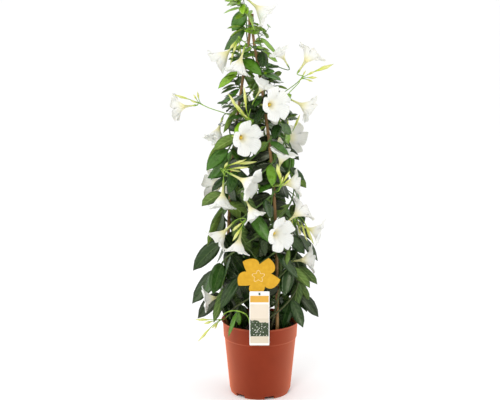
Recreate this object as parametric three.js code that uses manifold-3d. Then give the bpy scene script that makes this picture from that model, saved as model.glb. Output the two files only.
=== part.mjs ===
// A potted mandevilla: a climber wound round three bowed canes, in bloom, in a nursery pot.
// Millimetres and degrees. +Z is up, -Y is the front, and the origin is the middle of the pot's foot.
import * as THREE from 'three';
import { mergeVertices } from 'three/addons/utils/BufferGeometryUtils.js';
import Module from 'manifold-3d';

const wasm = await Module();
wasm.setup();

// Pot and soil
const POT_HEIGHT = 200;
const RIM_RADIUS = 105;
const LIP_DROP = 6;
const COLLAR_TOP_RADIUS = 100.5;
const COLLAR_FOOT_RADIUS = 98.5;
const COLLAR_HEIGHT = 44;
const COLLAR_STEP = 4;
const BODY_TOP_RADIUS = 96;
const BODY_FOOT_RADIUS = 82.5;
const FOOT_RADIUS = 79;
const FOOT_RING_WIDTH = 7;
const FOOT_RISE = 12;
const WALL = 1.6;
const FLOOR = 2;
const PAD_RADIUS = 45;
const CHANNEL_RISE = 9;
const CHANNEL_SLOPE = 3;
const POT_SIDES = 24;
const DRAIN_HOLES = 6;
const DRAIN_RADIUS = 5;
const DRAIN_CIRCLE = 59;
const DRAIN_TURN = 6;
const DRAIN_SIDES = 8;
const NOTCHES = 6;
const NOTCH_WIDTH = 28;
const NOTCH_FIRST = 18;
const SOIL_TOP = 175;
const SOIL_RELIEF = 3;
const SOIL_RING = 0.62;
const GAP = 0.35;
const HOLE_GAP = 0.45;

// Canes and tie
const CANE_COUNT = 3;
const CANE_FIRST = 180;
const CANE_CIRCLE = 88;
const CANE_FOOT = 60;
const CANE_SLANT = 0.12;
const CANE_TOP = 1012;
const CANE_STEPS = 14;
const CANE_SIDES = 6;
const CANE_LOW_RADIUS = 4.5;
const CANE_HIGH_RADIUS = 3.5;
const CANE_BOW = 2.8;
const CANE_CLOSE = 1.2;
const CANE_CROWD = 1.35;
const APEX_X = -24;
const TIE_Z = 982;
const TIE_WIRE = 2.2;
const TIE_SLACK = 0.9;
const TIE_SIDES = 10;
const BUNDLE_CIRCLE = 4.5;

// Climbing stems
const TWIST = 0.8;
const STEM_START = 148;
const STEM_SIDES = 4;
const STEM_CLEAR_LOW = 20;
const STEM_CLEAR_HIGH = 13;
const STEM_CLOSES = [780, 950];
const STEM_LEAN = 72;
const STEM_LOW_RADIUS = 2.5;
const STEM_HIGH_RADIUS = 1.5;
const LOWEST_STALK = SOIL_TOP + 20;
const VINE_PITCH = 300;
const VINE_STEP = 36;
const YOUNG_RADIUS = 1.8;
const VINE_LEAN = 60;
const VINE_ROOT = 21;
const VINE_CIRCLE = 11.2;
const VINE_LOW_RADIUS = 2.7;

// Shoots wind round all three canes: first turn of the foot, its distance from the middle, the top.
const SHOOTS = [
  { name: 'shoot_1', start: 238, root: 52, top: 1034, step: 58 },
  { name: 'shoot_2', start: 105, root: 56, top: 960, step: 58 },
  { name: 'shoot_3', start: 345, root: 54, top: 905, step: 58 },
  { name: 'shoot_4', start: 165, root: 36, top: 800, step: 56 },
  { name: 'shoot_5', start: 285, root: 32, top: 730, step: 56 },
  { name: 'shoot_6', start: 45, root: 34, top: 660, step: 56 },
];

// Woody vines twine round one cane each.
const VINES = [
  { name: 'vine_1', cane: 0, start: 20, top: 850, every: 4 },
  { name: 'vine_2', cane: 1, start: 150, top: 800, every: 4 },
  { name: 'vine_3', cane: 2, start: 260, top: 830, every: 4 },
];

// The young shoot leans over the rim at the front left.
const YOUNG_SHOOT = {
  name: 'young_shoot',
  every: 1,
  young: true,
  points: [
    [-24, -72, 148], [-26, -80, 200], [-31, -92, 236], [-50, -99, 250], [-70, -97, 253],
    [-88, -88, 246], [-100, -74, 232],
  ],
};

// Leaves
const LEAF_LONG = 90;
const LEAF_SHORT = 64;
const LEAF_LEAN = 0.14;
const YOUNG_LEAF = 0.56;
const YOUNG_SLIM = 0.72;
const LEAF_SLIM = 0.5;
const LEAF_FOLD = 0.2;
const LEAF_CLEAR = 0.9;
const LEAF_SKIP = 8;
const LEAF_LOWEST = 250;
const LEAF_START = 0.1;

// A leaf faces up and out of the plant, and those at the sides mostly turn round to the front.
const LEAF_FACE_OUT = { rising: -0.2, falling: 0.4 };
const LEAF_FACE_ROUND = 1.3;
const LEAF_FRONT_SHARE = 0.7;

// How a leaf leaves its stem: its way to the side, its way out of the plant, and its fall low down
// and high up. Then the widest draws of its turn, tilt and roll, and of its size, width and droop.
const LEAF_ACROSS = 0.6;
const LEAF_OUTWARD = 0.15;
const LEAF_FALLS = [-0.95, -0.3];
const LEAF_HEIGHTS = [300, 600];
const LEAF_SWING = 50;
const LEAF_TILT = 0.5;
const LEAF_ROLL = 70;
const LEAF_SIZES = [0.8, 1.08];
const LEAF_WIDTHS = [0.85, 1.1];
const LEAF_DROOPS = [0.12, 0.4];

// Sections of a leaf between its foot and its tip: place along it, half width as a share of the
// widest, and half thickness at the midrib.
const LEAF_SECTIONS = [
  { at: 0.24, wide: 0.78, thick: 1.2 },
  { at: 0.62, wide: 0.94, thick: 0.8 },
];

// Ways a leaf turns to find room: swing about the vertical, lift, and size.
const LEAF_TRIES = [
  [0, 0, 1], [18, 0, 1], [-18, 0, 1], [0, -16, 1], [0, 16, 1],
  [36, 0, 1], [-36, 0, 1], [18, -18, 0.9], [-18, -18, 0.9], [36, 16, 0.9],
  [-36, 16, 0.9],
];

// Flower sprays: end of the stalk, and the tips of the furled buds with their thickness.
const SPRAYS = [
  { name: 'spray_top', hub: [-50, -12, 948], buds: [[-78, -34, 884, 3.2]] },
  { name: 'spray_high_right', hub: [100, -6, 842], buds: [[186, -26, 886, 5]] },
  { name: 'spray_far_left', hub: [-148, -14, 779], buds: [[-222, -30, 808, 3.4], [-163, -26, 816, 2.6]] },
  {
    name: 'spray_front_high',
    hub: [-14, -74, 748],
    buds: [[-84, -84, 818, 3.6], [-44, -88, 836, 3.6], [-70, -98, 798, 2.6]],
  },
  {
    name: 'spray_front_right',
    hub: [46, -102, 572],
    buds: [[41, -104, 640, 5], [74, -100, 622, 3.4], [57, -110, 610, 2.4]],
  },
  {
    name: 'spray_left',
    hub: [-92, -52, 602],
    buds: [[-10, -100, 646, 4.2], [-36, -96, 652, 3.2], [-30, -108, 634, 2.6]],
  },
  { name: 'spray_front_low', hub: [-44, -108, 492], buds: [[-72, -134, 446, 3.8]] },
  { name: 'spray_right', hub: [88, -36, 480], buds: [[140, -62, 420, 3.8], [122, -58, 428, 2.6]] },
  { name: 'spray_rim_left', hub: [-100, -52, 214], buds: [[-172, -66, 218, 3.4], [-166, -62, 156, 3.4]] },
  { name: 'spray_back_high', hub: [-6, 82, 768], buds: [[-34, 104, 826, 3.2], [22, 108, 822, 3.4]] },
  { name: 'spray_back_right', hub: [66, 84, 690], buds: [[108, 112, 740, 3.4], [70, 128, 744, 3]] },
  { name: 'spray_back_left', hub: [-74, 80, 560], buds: [[-122, 112, 604, 3.4], [-80, 130, 610, 3]] },
  { name: 'spray_back_low', hub: [26, 112, 430], buds: [[60, 150, 470, 3.6], [0, 156, 476, 3]] },
];

// The end of a spray's stalk, which carries the buds and blooms.
const RACHIS_LENGTH = 16;
const RACHIS_RADIUS = 1.7;
const STALK_RADIUS = 1.15;
const STALK_END = 3;
const STALK_REACH = 20;
const STALK_LIFT = 12;
const STALK_SINK = 1;
const STALK_SIDES = 4;
const RACHIS_SIDES = 5;
const BUD_SHARE = 0.62;
const BUD_STALK_RADIUS = 0.9;

// Open blooms: middle of the mouth, turn of the face from the front towards +X, its rise, its size,
// and the spray it grows on, or the nearest stem where no spray is named.
const BLOOMS = [
  { name: 'bloom_01', mouth: [17, -16, 1008], turn: 80, rise: -38, size: 1 },
  { name: 'bloom_02', mouth: [-112, -2, 890], turn: -104, rise: -42, size: 1, spray: 'spray_top' },
  { name: 'bloom_03', mouth: [-61, -59, 868], turn: -60, rise: -70, size: 0.95, spray: 'spray_top' },
  { name: 'bloom_04', mouth: [46, -34, 922], turn: -70, rise: 58, size: 0.7 },
  { name: 'bloom_05', mouth: [134, -8, 918], turn: 112, rise: 52, size: 0.95, spray: 'spray_high_right' },
  { name: 'bloom_06', mouth: [-224, -8, 772], turn: -106, rise: -8, size: 0.85, spray: 'spray_far_left' },
  { name: 'bloom_07', mouth: [42, -112, 792], turn: 38, rise: 6, size: 1.02 },
  { name: 'bloom_08', mouth: [10, -84, 844], turn: 60, rise: 56, size: 0.7, spray: 'spray_front_high' },
  { name: 'bloom_09', mouth: [132, -16, 768], turn: 100, rise: -26, size: 0.92, spray: 'spray_high_right' },
  { name: 'bloom_10', mouth: [-119, -30, 690], turn: -36, rise: -58, size: 0.92 },
  { name: 'bloom_11', mouth: [-30, -122, 706], turn: 36, rise: 0, size: 1.05 },
  { name: 'bloom_12', mouth: [60, -86, 672], turn: 70, rise: 72, size: 0.9 },
  { name: 'bloom_13', mouth: [100, -74, 588], turn: 96, rise: 8, size: 0.92, spray: 'spray_front_right' },
  { name: 'bloom_14', mouth: [-16, -132, 588], turn: 66, rise: -22, size: 1.05, spray: 'spray_left' },
  { name: 'bloom_15', mouth: [-100, -90, 524], turn: -12, rise: -72, size: 0.98, spray: 'spray_left' },
  { name: 'bloom_16', mouth: [-14, -134, 506], turn: 60, rise: -58, size: 0.85 },
  { name: 'bloom_17', mouth: [114, -63, 520], turn: 112, rise: 36, size: 0.95 },
  { name: 'bloom_18', mouth: [56, -138, 462], turn: 42, rise: 0, size: 1.05 },
  { name: 'bloom_19', mouth: [160, -47, 448], turn: 78, rise: -16, size: 0.9, spray: 'spray_right' },
  { name: 'bloom_20', mouth: [-117, -94, 438], turn: -78, rise: -44, size: 0.95, spray: 'spray_front_low' },
  { name: 'bloom_21', mouth: [-62, -130, 416], turn: -40, rise: -70, size: 0.9, spray: 'spray_front_low' },
  { name: 'bloom_22', mouth: [140, -31, 374], turn: 98, rise: 4, size: 0.9 },
  { name: 'bloom_23', mouth: [-152, -46, 268], turn: -84, rise: -6, size: 0.85 },
];

// Blooms at the back, which are joined to their sprays.
const BACK_BLOOMS = [
  { mouth: [-50, 112, 756], turn: -160, rise: 4, size: 0.95, spray: 'spray_back_high' },
  { mouth: [40, 118, 744], turn: 158, rise: 0, size: 1, spray: 'spray_back_high' },
  { mouth: [98, 108, 676], turn: 136, rise: -10, size: 1, spray: 'spray_back_right' },
  { mouth: [44, 138, 668], turn: 176, rise: -14, size: 0.95, spray: 'spray_back_right' },
  { mouth: [-136, 92, 548], turn: -122, rise: -8, size: 1, spray: 'spray_back_left' },
  { mouth: [-62, 142, 536], turn: -176, rise: -16, size: 1, spray: 'spray_back_left' },
  { mouth: [84, 150, 418], turn: 150, rise: -12, size: 1, spray: 'spray_back_low' },
  { mouth: [-20, 168, 412], turn: -170, rise: -14, size: 0.95, spray: 'spray_back_low' },
];

// One bloom of size 1: a slim tube, a flare and five lobes set like the blades of a windmill.
const BLOOM_LENGTH = 70;
const BLOOM_SPIN = 18;
const TUBE_RADII = [2.3, 3];
const TUBE_LENGTH = 30;
const FLARE_AT = 50;
const FLARE_RADIUS = 16.5;
const PIT_AT = 34;
const LOBE_COUNT = 5;
const LOBE_RADIUS = 41;
const SHELL = 1.5;

// Edge points of one lobe: turn from its middle, reach as a share of the lobe radius, and place along.
const LOBE_EDGE = [
  { turn: -36, reach: 0.66, along: 64 },
  { turn: -22, reach: 0.97, along: 73 },
  { turn: 3, reach: 1.02, along: 70 },
  { turn: 23, reach: 0.88, along: 64 },
];

// Card and label
const CARD_RADIUS = 57;
const CARD_WAIST = 33;
const CARD_PETALS = 5;
const CARD_TURN = 5;
const CARD_TIP_AT = 22;
const CARD_PULLS = { tip: [0.72, 8], crown: [1.02, 36], shoulder: [1, 66] };
const CARD_THICK = 1.2;
const CARD_CENTRE = [-6, 349];
const CARD_LEAN = 8.2;
const CARD_FOOT_Y = -84;
const STAKE_WIDTH = 12;
const STAKE_FOOT = 138;
const PEG_RADIUS = 1.7;
const PEG_LENGTH = 9;
const LABEL_WIDTH = 52;
const LABEL_HEIGHT = 146;
const LABEL_THICK = 0.8;
const LABEL_TOP = 308;
const LABEL_X = -3;
const LABEL_Y = -110.4;
const LABEL_HOLE = 2.1;
const LABEL_HOLE_DROP = 6;

// Space that leaves keep out of, before the card and before each bloom
const VIEW_DEPTH = 90;
const VIEW_RADII = [30, 26];
const VIEW_START = 6;
const VIEW_LEAN = 0.6;
const VIEW_SIDES = 8;
const CARD_VIEW_HEIGHT = 250;
const CARD_VIEW_Y = -160;

const materials = {
  pot: material(0xb0503a, 0.55),
  soil: material(0x2d2119, 0.95),
  cane: material(0xb98a52, 0.7),
  tie: material(0x3f6b35, 0.5),
  bark: material(0x5a6b3a, 0.75),
  leaf: material(0x2f5a28, 0.45),
  youngLeaf: material(0x8fb63c, 0.5),
  bud: material(0xc9d873, 0.5),
  petal: material(0xf6f5ee, 0.6),
  card: material(0xe2b53a, 0.5),
  label: material(0xf2f1ec, 0.45),
};

function material(color, roughness) {
  return new THREE.MeshStandardMaterial({ color, roughness, metalness: 0 });
}

const vec = (x, y, z) => new THREE.Vector3(x, y, z);
const rad = THREE.MathUtils.degToRad;
const mix = THREE.MathUtils.lerp;
const smooth = (value) => THREE.MathUtils.smoothstep(value, 0, 1);
const plus = (point, direction, length) => point.clone().addScaledVector(direction, length);
const round = (radius, angle, z) => vec(radius * Math.cos(angle), radius * Math.sin(angle), z);
const across = (direction, axis) => plus(direction, axis, -direction.dot(axis)).normalize();

// A seeded draw between 0 and 1, the same on every run.
function seededDraw(seed) {
  let state = seed >>> 0;
  return () => {
    state = (state + 0x6d2b79f5) >>> 0;
    let mixed = Math.imul(state ^ (state >>> 15), state | 1);
    mixed ^= mixed + Math.imul(mixed ^ (mixed >>> 7), mixed | 61);
    return ((mixed ^ (mixed >>> 14)) >>> 0) / 4294967296;
  };
}

// A closed skin of points and triangles as a solid, turned so that its faces point out.
function solidFrom(points, triangles) {
  let volume = 0;
  for (const [a, b, c] of triangles) {
    volume += points[a].dot(points[b].clone().cross(points[c]));
  }
  const outward = volume < 0 ? triangles.map(([a, b, c]) => [a, c, b]) : triangles;
  const vertProperties = new Float32Array(points.flatMap((p) => p.toArray()));
  const triVerts = new Uint32Array(outward.flat());
  return new wasm.Manifold(new wasm.Mesh({ numProp: 3, vertProperties, triVerts }));
}

// A closed three.js geometry as a solid.
function solidOf(geometry) {
  const bare = geometry.index ? geometry.toNonIndexed() : geometry.clone();
  bare.deleteAttribute('normal');
  bare.deleteAttribute('uv');
  const merged = mergeVertices(bare, 1e-3);
  const place = merged.getAttribute('position');
  const points = Array.from({ length: place.count }, (_, i) => vec().fromBufferAttribute(place, i));
  const triangles = [];
  for (let i = 0; i < merged.index.count; i += 3) {
    const [a, b, c] = [0, 1, 2].map((k) => merged.index.getX(i + k));
    if (a !== b && b !== c && c !== a) triangles.push([a, b, c]);
  }
  return solidFrom(points, triangles);
}

// Triangles between two rings. A ring may be one point, or have twice its neighbour's points.
function band(from, fromCount, to, toCount, turned) {
  const triangles = [];
  const few = Math.min(fromCount, toCount);
  const many = Math.max(fromCount, toCount);
  const [low, high] = fromCount <= toCount ? [from, to] : [to, from];
  const flip = fromCount <= toCount ? (t) => t : ([a, b, c]) => [a, c, b];
  for (let k = 0; k < many && few === 1; k++) {
    triangles.push(flip([low, high + ((k + 1) % many), high + k]));
  }
  for (let k = 0; k < few && few > 1 && few === many; k++) {
    const next = (k + 1) % few;
    const [a, b, c, d] = [from + k, from + next, to + next, to + k];
    triangles.push(...(turned(k) ? [[a, b, d], [b, c, d]] : [[a, b, c], [a, c, d]]));
  }
  for (let k = 0; k < few && few > 1 && few < many; k++) {
    const next = (k + 1) % few;
    const [a, b] = [low + k, low + next];
    const [c, d, e] = [high + 2 * k, high + 2 * k + 1, high + ((2 * k + 2) % many)];
    triangles.push(...[[a, d, c], [a, b, d], [b, e, d]].map(flip));
  }
  return triangles;
}

// Rings of points joined into one closed skin, with flat ends where the end rings are open.
function loft(rings, turned = () => false) {
  const starts = [];
  const points = [];
  for (const ring of rings) {
    starts.push(points.length);
    points.push(...ring);
  }
  const triangles = [];
  for (let i = 0; i + 1 < rings.length; i++) {
    triangles.push(...band(starts[i], rings[i].length, starts[i + 1], rings[i + 1].length, turned));
  }
  const last = rings.length - 1;
  for (let k = 1; k + 1 < rings[0].length; k++) {
    triangles.push([0, k + 1, k]);
  }
  for (let k = 1; k + 1 < rings[last].length; k++) {
    triangles.push([starts[last], starts[last] + k, starts[last] + k + 1]);
  }
  return solidFrom(points, triangles);
}

// Rings square to a line of points, carried along without twisting. A radius of 0 is a point.
function sweepRings(points, radii, sides, firstSide) {
  let side = firstSide;
  return points.map((point, i) => {
    const before = points[Math.max(i - 1, 0)];
    const after = points[Math.min(i + 1, points.length - 1)];
    const along = after.clone().sub(before).normalize();
    side = across(side, along);
    if (radii[i] === 0) return [point.clone()];
    const other = along.clone().cross(side);
    return Array.from({ length: sides }, (_, k) => {
      const angle = (2 * Math.PI * k) / sides;
      return plus(plus(point, side, radii[i] * Math.cos(angle)), other, radii[i] * Math.sin(angle));
    });
  });
}

function sweep(points, radii, sides) {
  const along = points[1].clone().sub(points[0]);
  const firstSide = Math.abs(along.z) > 0.9 * along.length() ? vec(1, 0, 0) : vec(0, 0, 1);
  return loft(sweepRings(points, radii, sides, firstSide));
}

// A curve that leaves one point and arrives at another in given directions.
function bend(from, leave, to, arrive) {
  const reach = from.distanceTo(to) / 3;
  return new THREE.CubicBezierCurve3(from, plus(from, leave, reach), plus(to, arrive, -reach), to);
}

function unite(solids) {
  return wasm.Manifold.union(solids);
}

function meshOf(name, solid, look) {
  const { vertProperties, triVerts } = solid.getMesh();
  const geometry = new THREE.BufferGeometry();
  geometry.setAttribute('position', new THREE.BufferAttribute(vertProperties, 3));
  geometry.setIndex(new THREE.BufferAttribute(triVerts, 1));
  const mesh = new THREE.Mesh(geometry, look);
  mesh.name = name;
  return mesh;
}

// Pot

// Outline of the turned pot from the middle of its foot, up the outside and down the inside.
function potProfile() {
  const collarFoot = POT_HEIGHT - COLLAR_HEIGHT;
  const channelOuter = FOOT_RADIUS - FOOT_RING_WIDTH;
  return [
    [0, 0],
    [PAD_RADIUS, 0],
    [PAD_RADIUS + CHANNEL_SLOPE, CHANNEL_RISE],
    [channelOuter - WALL, CHANNEL_RISE],
    [channelOuter, 0],
    [FOOT_RADIUS, 0],
    [BODY_FOOT_RADIUS, FOOT_RISE],
    [BODY_TOP_RADIUS, collarFoot - COLLAR_STEP],
    [COLLAR_FOOT_RADIUS, collarFoot],
    [COLLAR_TOP_RADIUS, POT_HEIGHT - LIP_DROP],
    [RIM_RADIUS, POT_HEIGHT],
    [RIM_RADIUS - WALL, POT_HEIGHT],
    [COLLAR_TOP_RADIUS - WALL, POT_HEIGHT - LIP_DROP - 1],
    ...innerWall(0),
    [0, FLOOR],
  ];
}

// The inside of the pot from the collar to the middle of the floor, and the soil's outside with a gap.
function innerWall(gap) {
  return [
    [BODY_FOOT_RADIUS - WALL - gap, CHANNEL_RISE + FLOOR + gap],
    [PAD_RADIUS + CHANNEL_SLOPE - WALL - gap, CHANNEL_RISE + FLOOR + gap],
    [PAD_RADIUS - WALL - gap, FLOOR + gap],
  ];
}

function turnedSolid(profile, sides) {
  const outline = profile.map(([radius, z]) => new THREE.Vector2(radius, z));
  return solidOf(new THREE.LatheGeometry(outline, sides).rotateX(Math.PI / 2));
}

function potSolid() {
  let pot = turnedSolid(potProfile(), POT_SIDES);
  for (let i = 0; i < DRAIN_HOLES; i++) {
    const drill = new THREE.CylinderGeometry(DRAIN_RADIUS, DRAIN_RADIUS, 4 * FLOOR, DRAIN_SIDES);
    const angle = rad((360 / DRAIN_HOLES) * i + DRAIN_TURN);
    const place = round(DRAIN_CIRCLE, angle, CHANNEL_RISE + FLOOR / 2);
    drill.rotateX(Math.PI / 2).translate(place.x, place.y, place.z);
    pot = pot.subtract(solidOf(drill));
  }
  for (let i = 0; i < NOTCHES; i++) {
    const cutter = new THREE.BoxGeometry(3 * FOOT_RING_WIDTH, NOTCH_WIDTH, 2 * CHANNEL_RISE);
    cutter.translate(FOOT_RADIUS, 0, 0);
    cutter.rotateZ(rad(NOTCH_FIRST + (360 / NOTCHES) * i - 90));
    pot = pot.subtract(solidOf(cutter));
  }
  return pot;
}

// Soil

function soilSolid(rooted) {
  const wallTop = COLLAR_TOP_RADIUS - WALL;
  const wallFoot = BODY_FOOT_RADIUS - WALL;
  const floorZ = CHANNEL_RISE + FLOOR;
  const rise = (SOIL_TOP - floorZ) / (POT_HEIGHT - LIP_DROP - 1 - floorZ);
  const edge = mix(wallFoot, wallTop, rise) - 2 * GAP;
  const draw = seededDraw(11);
  const ringAt = (radius, z, relief) => Array.from({ length: POT_SIDES }, (_, k) => {
    const angle = Math.PI / 2 + (2 * Math.PI * k) / POT_SIDES;
    return round(radius, angle, z + relief * (draw() - 0.5));
  });
  const rings = innerWall(GAP).reverse().map(([radius, z]) => ringAt(radius, z, 0));
  rings.unshift([vec(0, 0, FLOOR + GAP)]);
  rings.push(ringAt(edge, SOIL_TOP, 0));
  rings.push(ringAt(edge * SOIL_RING, SOIL_TOP, 2 * SOIL_RELIEF));
  rings.push([vec(0, 0, SOIL_TOP + SOIL_RELIEF)]);
  let soil = loft(rings);
  for (const hole of rooted) {
    soil = soil.subtract(hole);
  }
  return soil;
}

// Canes

// How far the canes stand apart at a height, from 1 at the soil to 0 where they are tied.
function caneSpread(z) {
  const rise = THREE.MathUtils.clamp((z - SOIL_TOP) / (TIE_Z - SOIL_TOP), 0, 1);
  return (1 - rise ** CANE_BOW) ** CANE_CLOSE;
}

function frameCentre(z) {
  return vec(APEX_X * (1 - caneSpread(z)), 0, z);
}

function canePoint(index, z) {
  const sunk = Math.max(SOIL_TOP - z, 0);
  const radius = Math.hypot(CANE_CIRCLE * caneSpread(z), BUNDLE_CIRCLE) - CANE_SLANT * sunk;
  const angle = rad(CANE_FIRST + (360 / CANE_COUNT) * index);
  return round(radius, angle, 0).add(frameCentre(z));
}

function canePoints(index, foot) {
  return Array.from({ length: CANE_STEPS + 1 }, (_, i) => {
    const z = mix(foot, CANE_TOP, 1 - (1 - i / CANE_STEPS) ** CANE_CROWD);
    return canePoint(index, z);
  });
}

function caneSolid(index, foot, gap) {
  const points = canePoints(index, foot);
  const radii = points.map((p) => {
    const share = (p.z - CANE_FOOT) / (CANE_TOP - CANE_FOOT);
    return mix(CANE_LOW_RADIUS, CANE_HIGH_RADIUS, share) + gap;
  });
  return sweep(points, radii, CANE_SIDES);
}

function tieSolid() {
  const inner = BUNDLE_CIRCLE + CANE_HIGH_RADIUS + TIE_SLACK;
  const profile = [
    [inner, -TIE_WIRE],
    [inner + TIE_WIRE, -TIE_WIRE],
    [inner + TIE_WIRE, TIE_WIRE],
    [inner, TIE_WIRE],
    [inner, -TIE_WIRE],
  ];
  const place = frameCentre(TIE_Z);
  return turnedSolid(profile, TIE_SIDES).translate([place.x, place.y, place.z]);
}

// Stems

function shootPoint(shoot, z) {
  const rise = Math.max(z - SOIL_TOP, 0);
  const [from, to] = STEM_CLOSES;
  const clear = mix(STEM_CLEAR_LOW, STEM_CLEAR_HIGH, smooth((z - from) / (to - from)));
  const wide = CANE_CIRCLE * caneSpread(z) + clear;
  const radius = mix(shoot.root, wide, smooth(rise / STEM_LEAN));
  return round(radius, rad(shoot.start + rise * TWIST), 0).add(frameCentre(z));
}

function vinePoint(vine, z) {
  const rise = Math.max(z - SOIL_TOP, 0);
  const radius = mix(VINE_ROOT, VINE_CIRCLE, smooth(rise / VINE_LEAN));
  return round(radius, rad(vine.start + (rise * 360) / VINE_PITCH), 0).add(canePoint(vine.cane, z));
}

// Points a step apart along a stem that is given by its point at each height.
function stemPoints(pointAt, top, step) {
  const points = [pointAt(STEM_START)];
  let previous = points[0];
  let walked = 0;
  for (let z = STEM_START + 1; z < top; z += 1) {
    const here = pointAt(z);
    walked += here.distanceTo(previous);
    previous = here;
    if (walked >= step) {
      points.push(here);
      walked = 0;
    }
  }
  points.push(pointAt(top));
  return points;
}

function stemOf({ name, every = 1, young = false }, points, lowRadius, seed) {
  const last = points.length - 1;
  const radii = points.map((_, i) => mix(lowRadius, STEM_HIGH_RADIUS, i / last));
  return { name, every, young, points, radii, seed, stalks: [] };
}

function tangentAt(points, i) {
  const before = points[Math.max(i - 1, 0)];
  const after = points[Math.min(i + 1, points.length - 1)];
  return after.clone().sub(before).normalize();
}

// The place on a stem that is nearest to a point, and the way from there to it, square to the stem.
function nearestOn(stems, target) {
  let best = null;
  for (const stem of stems) {
    stem.points.forEach((point, i) => {
      const away = point.distanceTo(target);
      if (point.z > LOWEST_STALK && (!best || away < best.away)) best = { stem, i, away };
    });
  }
  const point = best.stem.points[best.i];
  const leave = across(target.clone().sub(point), tangentAt(best.stem.points, best.i));
  return { stem: best.stem, radius: best.stem.radii[best.i], point, leave };
}

// Sprays and buds

function sprayOf(spec, stems) {
  const hub = vec(...spec.hub);
  const { radius, point, leave } = nearestOn(stems, hub);
  const start = plus(point, leave, radius + GAP);
  const arrive = hub.clone().sub(start).add(vec(0, 0, STALK_LIFT)).normalize();
  const points = bend(start, leave, hub, arrive).getPoints(3);
  points.push(plus(hub, arrive, RACHIS_LENGTH));
  return { ...spec, hub, arrive, points, stalks: [], blooms: [] };
}

// A furled bud on its own stalk, from the rachis to its tip.
function budSolid(spray, [x, y, z, thick], order) {
  const from = plus(spray.hub, spray.arrive, RACHIS_LENGTH * (0.7 - 0.3 * order));
  const tip = vec(x, y, z);
  const leave = tip.clone().sub(from).normalize().add(spray.arrive).normalize();
  const arrive = tip.clone().sub(from).normalize();
  const path = bend(from, leave, tip, arrive);
  const stations = [0, 1 - BUD_SHARE, 1 - 0.9 * BUD_SHARE, 1 - 0.45 * BUD_SHARE, 1];
  const radii = [BUD_STALK_RADIUS, BUD_STALK_RADIUS, 0.55 * thick, thick, 0];
  return loft(sweepRings(stations.map((t) => path.getPoint(t)), radii, STALK_SIDES, vec(0.3, 0.2, 1)));
}

function spraySolid(spray) {
  const last = spray.points.length - 1;
  const radii = spray.points.map((_, i) => (i < last - 1 ? STALK_RADIUS : RACHIS_RADIUS));
  const buds = spray.buds.map((bud, order) => budSolid(spray, bud, order));
  return unite([sweep(spray.points, radii, RACHIS_SIDES), ...buds, ...spray.stalks, ...spray.blooms]);
}

// Blooms

// Axes of a bloom: where it faces, and the two directions across it.
function bloomAxes(spec) {
  const turn = rad(spec.turn);
  const rise = rad(spec.rise);
  const face = vec(Math.sin(turn) * Math.cos(rise), -Math.cos(turn) * Math.cos(rise), Math.sin(rise));
  const side = across(Math.abs(face.z) > 0.9 ? vec(1, 0, 0) : vec(0, 0, 1), face);
  return { face, side, other: face.clone().cross(side) };
}

function bloomFoot(spec) {
  return plus(vec(...spec.mouth), bloomAxes(spec).face, -BLOOM_LENGTH * spec.size);
}

// A bloom's stalk leaves its spray or the nearest stem, and belongs to it.
function growStalk(spec, gap, stems, sprays) {
  const { face } = bloomAxes(spec);
  const foot = bloomFoot(spec);
  const owner = sprays.find((each) => each.name === spec.spray);
  const start = owner ? stalkStart(owner, foot) : nearestOn(stems, plus(foot, face, -STALK_REACH));
  const end = plus(foot, face, -gap);
  const path = bend(start.point, start.leave, plus(end, face, -STALK_END), face);
  const line = [...path.getPoints(2), end];
  (owner ?? start.stem).stalks.push(sweep(line, line.map(() => STALK_RADIUS), STALK_SIDES));
}

// The first stalk leaves the end of the rachis, and the next ones its side.
function stalkStart(spray, foot) {
  const order = spray.stalks.length;
  const share = order === 0 ? 0.9 : 0.5 * order - 0.4;
  const point = plus(spray.hub, spray.arrive, RACHIS_LENGTH * share);
  const leave = order === 0 ? spray.arrive : across(foot.clone().sub(point), spray.arrive);
  return { point, leave };
}

function bloomSolid(spec) {
  const { side, other, face } = bloomAxes(spec);
  const foot = bloomFoot(spec);
  const spotAt = (radius, angle, along) => {
    const reach = radius * spec.size;
    const middle = plus(foot, face, along * spec.size);
    return plus(plus(middle, side, reach * Math.cos(angle)), other, reach * Math.sin(angle));
  };
  const firstAngle = rad(BLOOM_SPIN - 180 / LOBE_COUNT);
  const ringAt = (count, radius, along) => Array.from(
    { length: count }, (_, k) => spotAt(radius, firstAngle + (2 * Math.PI * k) / count, along));
  const edge = [];
  for (let lobe = 0; lobe < LOBE_COUNT; lobe++) {
    for (const { turn, reach, along } of LOBE_EDGE) {
      edge.push(spotAt(reach * LOBE_RADIUS, rad(BLOOM_SPIN + turn + (360 / LOBE_COUNT) * lobe), along));
    }
  }
  return loft([
    ringAt(LOBE_COUNT, TUBE_RADII[0], 0),
    ringAt(LOBE_COUNT, TUBE_RADII[1], TUBE_LENGTH),
    ringAt(2 * LOBE_COUNT, FLARE_RADIUS, FLARE_AT),
    edge,
    ringAt(2 * LOBE_COUNT, FLARE_RADIUS - SHELL, FLARE_AT + SHELL),
    [spotAt(0, 0, PIT_AT)],
  ]);
}

// Leaves

// The line of a leaf: out along its direction and bending down.
function leafPoint(leaf, at) {
  const point = plus(leaf.root, leaf.along, leaf.length * at);
  point.z -= leaf.length * leaf.droop * at * at;
  return point;
}

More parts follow.
